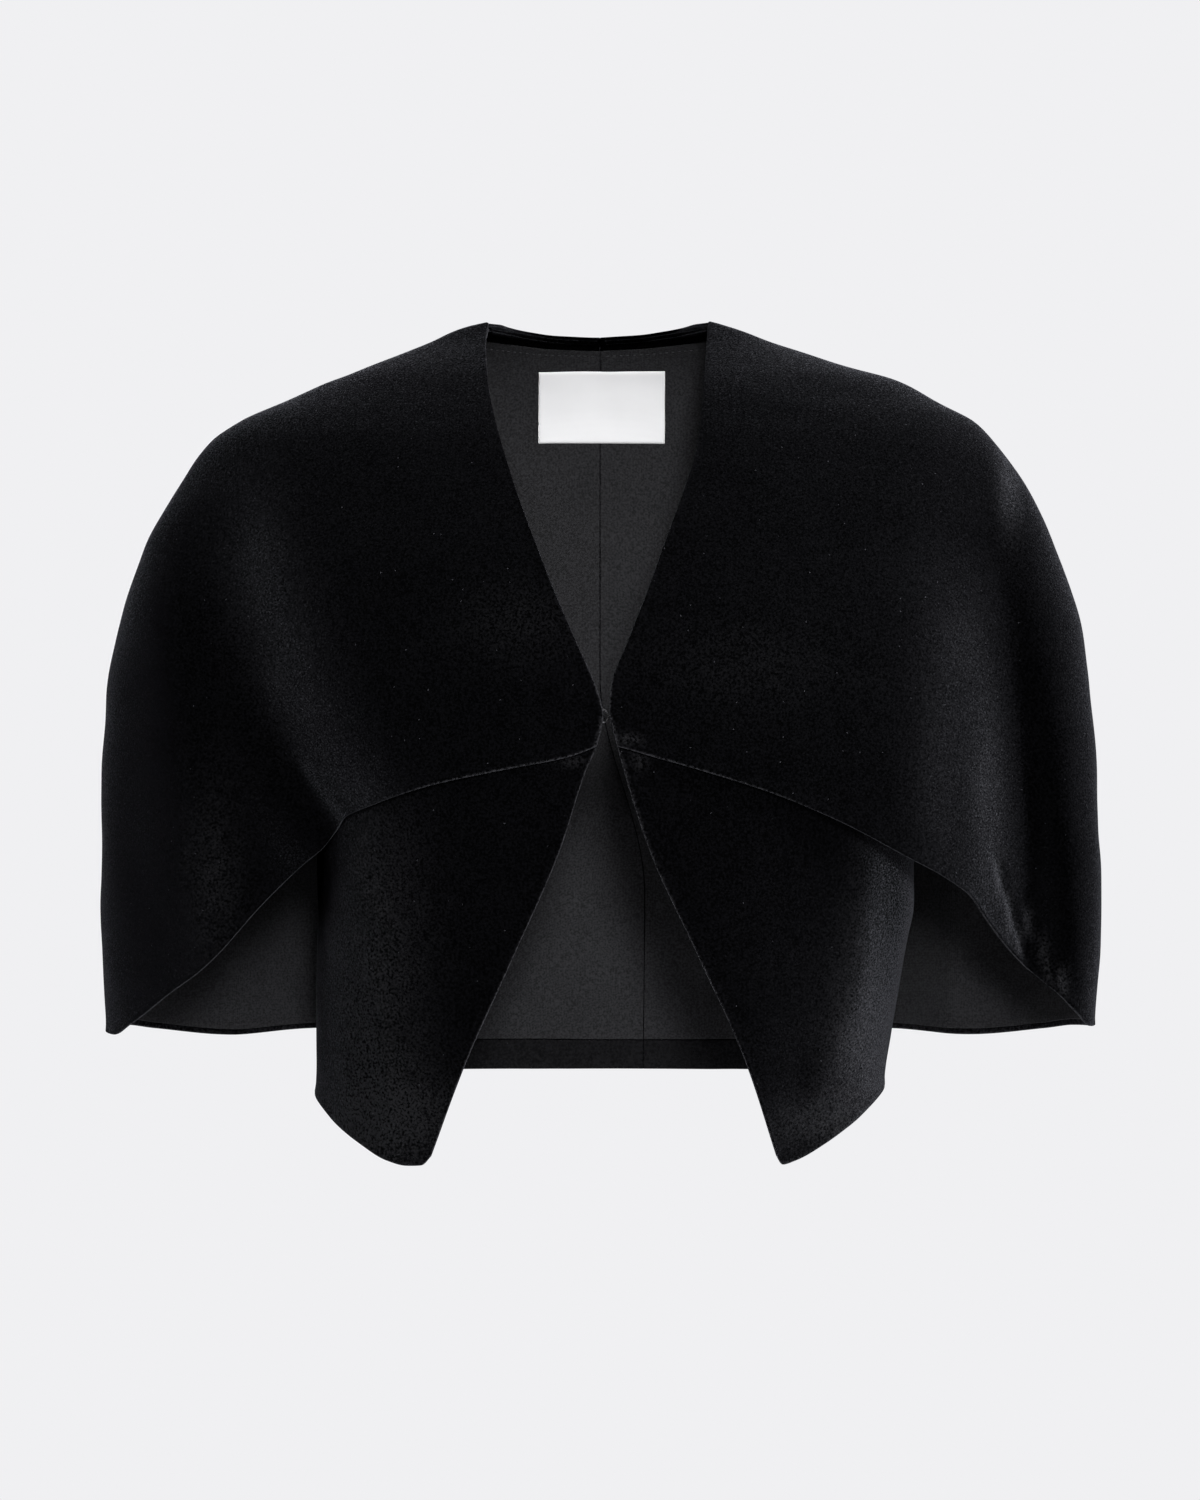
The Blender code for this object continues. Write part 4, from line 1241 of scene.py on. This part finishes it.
class CAPE_OT_vest_backs(CapeOperator, bpy.types.Operator):
    """Vest backs with the neck facings, linings and hem facings inside them"""

    bl_idname = "cape.vest_backs"
    bl_label = "Vest Backs"

    def execute(self, context):
        step = self.sizes(context).back_step / MM
        names = ("velvet", "pressed_and_lit_velvet", "shade_painted_velvet", "lining")
        velvet, pressed_and_lit, shade_painted, lining = (finish_of(context, name) for name in names)
        first, last, apart = vest_back_rows()
        inside = VELVET_WALL + LAYER_GAP
        # The neck facing and the roll at the top of the vest back wear the shade-painted velvet
        layers = (
            ("vest_back", "velvet", [velvet, shade_painted], 0, 1, 0, VELVET_WALL),
            ("neck_facing", "velvet", [shade_painted], 0, first - apart, inside, FACING_WALL),
            ("vest_lining", "lining", [lining], first, last, inside, LINING_WALL),
            # The hem facing wears the lighter pressed velvet, partly painted light
            ("hem_facing", "velvet", [pressed_and_lit], last + apart, 1, inside, FACING_WALL),
        )
        rims = (THIN_RIM,) * 4
        for side in SIGN:
            drape = Drape("vest", side)
            chart = vest_back_chart(drape)
            for name, slot, made, top, bottom, depth, wall in layers:
                cloth = Cloth(drape, part_of(chart, top, bottom), depth, wall, rims, step)
                cloth.keep_back(vest_seam(side), SEAM_GAP if depth else -SEAM_LAP)
                cloth.roll = 0.0 if depth else NECK_SHADE_ROLL
                add_cloth(cloth, f"{name}_{side}", made)
        return {"FINISHED"}


class CAPE_OT_label(CapeOperator, bpy.types.Operator):
    """Bare white label on the back lining"""

    bl_idname = "cape.label"
    bl_label = "Label"

    def execute(self, context):
        columns = np.linspace(*LABEL_ACROSS, LABEL_COLUMNS)
        across, drop = np.meshgrid(columns, np.linspace(*LABEL_DROP, LABEL_ROWS))
        grids = {side: self.on_lining(side, across, drop) for side in SIGN}
        right = (across > 0)[..., None]
        point = np.where(right, grids["right"][0], grids["left"][0])
        normal = np.where(right, grids["right"][1], grids["left"][1])
        cloth = LabelCloth(point, normal, LABEL_WALL)
        add_cloth(cloth, "label", [finish_of(context, "label")])
        return {"FINISHED"}

    def on_lining(self, side, across, drop):
        drape = Drape("vest", side)
        turn = turn_at(VEST_FORM, side, SIGN[side] * across, drop, back=True)
        point, normal = drape.surface(np.stack([turn, drop], axis=-1))
        flip = np.array([SIGN[side], 1, 1])
        depth = VELVET_WALL + LAYER_GAP + LINING_WALL + SEAM_GAP
        return (point - normal * depth) * flip, normal * flip


class LabelCloth(Cloth):
    """The label's shell, whose grid is given as points and normals."""

    def __init__(self, point, normal, wall):
        self.drape = Drape("vest", "right")
        self.normal = normal
        self.lean = 0 * normal
        self.edges = self.edge_distances(point)
        near = np.min(self.edges, axis=0)
        self.edge_sheen = 0 * near
        self.pale = 0 * near
        sink = (RIM_MOST * wall * (1 - ease(0, wall, near)))[..., None]
        self.outer = point - normal * sink
        self.inner = point - normal * (wall - sink)


class CAPE_OT_clasp(CapeOperator, bpy.types.Operator):
    """Eye on the left front edge and hook on the right one"""

    bl_idname = "cape.clasp"
    bl_label = "Clasp"

    def execute(self, context):
        radius = self.sizes(context).wire_radius / MM
        made = [finish_of(context, "wire")]
        cloth = -smooth(CLASP_DROP, VEST_FORM["drop"], VEST_FORM["front"]) + VELVET_WALL
        behind = cloth + 3 * SEAM_GAP + radius
        centre = -smooth(CLASP_DROP, V_EDGE["drop"], V_EDGE["left"])
        angle = np.arange(EYE_POINTS) * 2 * math.pi / EYE_POINTS
        across = centre + EYE_HALF_WIDE * np.cos(angle)
        up = EYE_HALF_HIGH * np.sin(angle) - CLASP_DROP
        eye = np.stack([across, behind + 0 * angle, up], axis=-1)
        bar = centre + EYE_HALF_WIDE
        lift = 2 * radius + SEAM_GAP
        bend = np.linspace(math.pi / 2, -math.pi / 2, HOOK_POINTS)
        across = np.concatenate([[bar + HOOK_TIP], bar - lift * np.cos(bend), [bar + HOOK_LONG]])
        deep = np.concatenate([[behind - lift], behind - lift * np.sin(bend), [behind + lift]])
        hook = np.stack([across, deep, np.full_like(across, -CLASP_DROP)], axis=-1)
        for node, line, closed in (("eye", eye, True), ("hook", hook, False)):
            points, faces = tube(line, radius, WIRE_SIDES, closed)
            piece = add_object(f"{node}_wire", points * MM, faces, made)
            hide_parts(node)
        return {"FINISHED"}


class CAPE_OT_stitching(CapeOperator, bpy.types.Operator):
    """Stitches below the neck facing and along the cape's back hem"""

    bl_idname = "cape.stitching"
    bl_label = "Stitching"

    def execute(self, context):
        first = vest_back_rows()[0]
        inside = VELVET_WALL + LAYER_GAP + LINING_WALL
        neck = []
        hem = []
        for side in SIGN:
            vest = Drape("vest", side)
            chart = vest_back_chart(vest)
            neck.append(lining_line(vest, chart, inside, NECK_STITCH_ENDS, first + NECK_STITCH_ROW))
            cape = Drape("cape", side)
            deep = VELVET_WALL + SEAM_GAP + LINING_WALL
            row = cape_lining_end() - HEM_STITCH_ROW
            hem.append(lining_line(cape, cape_back_chart(), deep, HEM_STITCH_ENDS, row))
        self.sew(context, "neck_stitches", neck, "neck_thread")
        self.sew(context, "cape_hem_stitches", hem, "thread")
        return {"FINISHED"}

    def sew(self, context, name, lines, thread):
        sizes = self.sizes(context)
        radius = sizes.thread_radius / MM
        points, faces = stitches(lines, sizes.stitch_pitch / MM, sizes.stitch_long / MM, radius)
        piece = add_object(name, points * MM, faces, [finish_of(context, thread)])


class CAPE_OT_stage(bpy.types.Operator):
    """Floor, surroundings, lights and camera"""

    bl_idname = "cape.stage"
    bl_label = "Stage"

    def execute(self, context):
        stage = context.scene.cape_stage
        self.floor(stage)
        self.surroundings(context.scene, stage)
        self.lights()
        self.camera(context.scene, stage)
        context.scene.view_settings.view_transform = "Standard"
        return {"FINISHED"}

    def floor(self, stage):
        bpy.ops.mesh.primitive_circle_add(
            vertices=FLOOR_SIDES,
            radius=stage.floor_radius,
            fill_type="NGON",
            location=(0, 0, -stage.floor_drop),
        )
        floor = bpy.context.object
        floor.name = "floor"
        made, nodes = finish("floor")
        cloud = nodes.noise(nodes.place(), FLOOR_CLOUD, 4.0)
        colour = nodes.mix(cloud, shade(stage.background, 0.93), shade(stage.background, 0.97))
        nodes.principled({"Base Color": colour, "Roughness": 0.9, "Specular IOR Level": 0.1})
        floor.data.materials.append(made)

    def surroundings(self, scene, stage):
        scene.world = bpy.data.worlds.new("surroundings")
        scene.world.use_nodes = True
        nodes = Nodes(scene.world.node_tree)
        colour = shade(stage.background, 1.0)
        seen = nodes.add("ShaderNodeBackground", {}, {"Color": colour, "Strength": 1.0})
        light = nodes.add("ShaderNodeBackground", {}, {"Color": colour, "Strength": stage.surround})
        ray = nodes.add("ShaderNodeLightPath", {}, {}, "Is Camera Ray")
        both = nodes.add("ShaderNodeMixShader", {}, {0: ray, 1: light, 2: seen})
        nodes.add("ShaderNodeOutputWorld", {}, {"Surface": both})

    def lights(self):
        for row in rows_of(LIGHT_COLUMNS, LIGHTS):
            data = bpy.data.lights.new(row["name"], "AREA")
            data.shape = "RECTANGLE"
            data.size = row["wide"]
            data.size_y = row["high"]
            data.energy = row["power"]
            data.spread = math.radians(row["beam"])
            lamp = bpy.data.objects.new(row["name"], data)
            bpy.context.scene.collection.objects.link(lamp)
            lamp.location = (row["x"], row["y"], row["z"])
            ahead = Vector((row["aim_x"], 0, row["aim_z"])) - lamp.location
            lamp.rotation_euler = ahead.to_track_quat("-Z", "Y").to_euler()

    def camera(self, scene, stage):
        data = bpy.data.cameras.new("camera")
        data.lens = stage.lens
        camera = bpy.data.objects.new("camera", data)
        scene.collection.objects.link(camera)
        camera.location = (0, -stage.camera_distance, stage.camera_height)
        camera.rotation_euler = (math.pi / 2, 0, 0)
        scene.camera = camera


OPERATORS = (
    CAPE_OT_cape_fronts,
    CAPE_OT_cape_backs,
    CAPE_OT_vest_fronts,
    CAPE_OT_vest_backs,
    CAPE_OT_label,
    CAPE_OT_clasp,
    CAPE_OT_stitching,
    CAPE_OT_stage,
)


class CAPE_PT_panel(bpy.types.Panel):
    """Panel that lists the makers of the pieces"""

    bl_label = "Velvet Cape"
    bl_idname = "CAPE_PT_panel"
    bl_space_type = "VIEW_3D"
    bl_region_type = "UI"
    bl_category = "Cape"

    def draw(self, context):
        for group in (context.scene.cape_sizes, context.scene.cape_looks, context.scene.cape_stage):
            box = self.layout.box()
            for name in group.__annotations__:
                box.prop(group, name)
        for operator in OPERATORS:
            self.layout.operator(operator.bl_idname)


GROUPS = {"cape_sizes": CapeSizes, "cape_looks": CapeLooks, "cape_stage": CapeStage}


def register():
    for made in (*GROUPS.values(), *OPERATORS, CAPE_PT_panel):
        bpy.utils.register_class(made)
    for name, group in GROUPS.items():
        setattr(bpy.types.Scene, name, PointerProperty(type=group))


def unregister():
    for name in GROUPS:
        delattr(bpy.types.Scene, name)
    for made in (CAPE_PT_panel, *reversed(OPERATORS), *GROUPS.values()):
        bpy.utils.unregister_class(made)


def main():
    register()
    for operator in OPERATORS:
        group, name = operator.bl_idname.split(".")
        getattr(getattr(bpy.ops, group), name)()


if __name__ == "__main__":
    main()
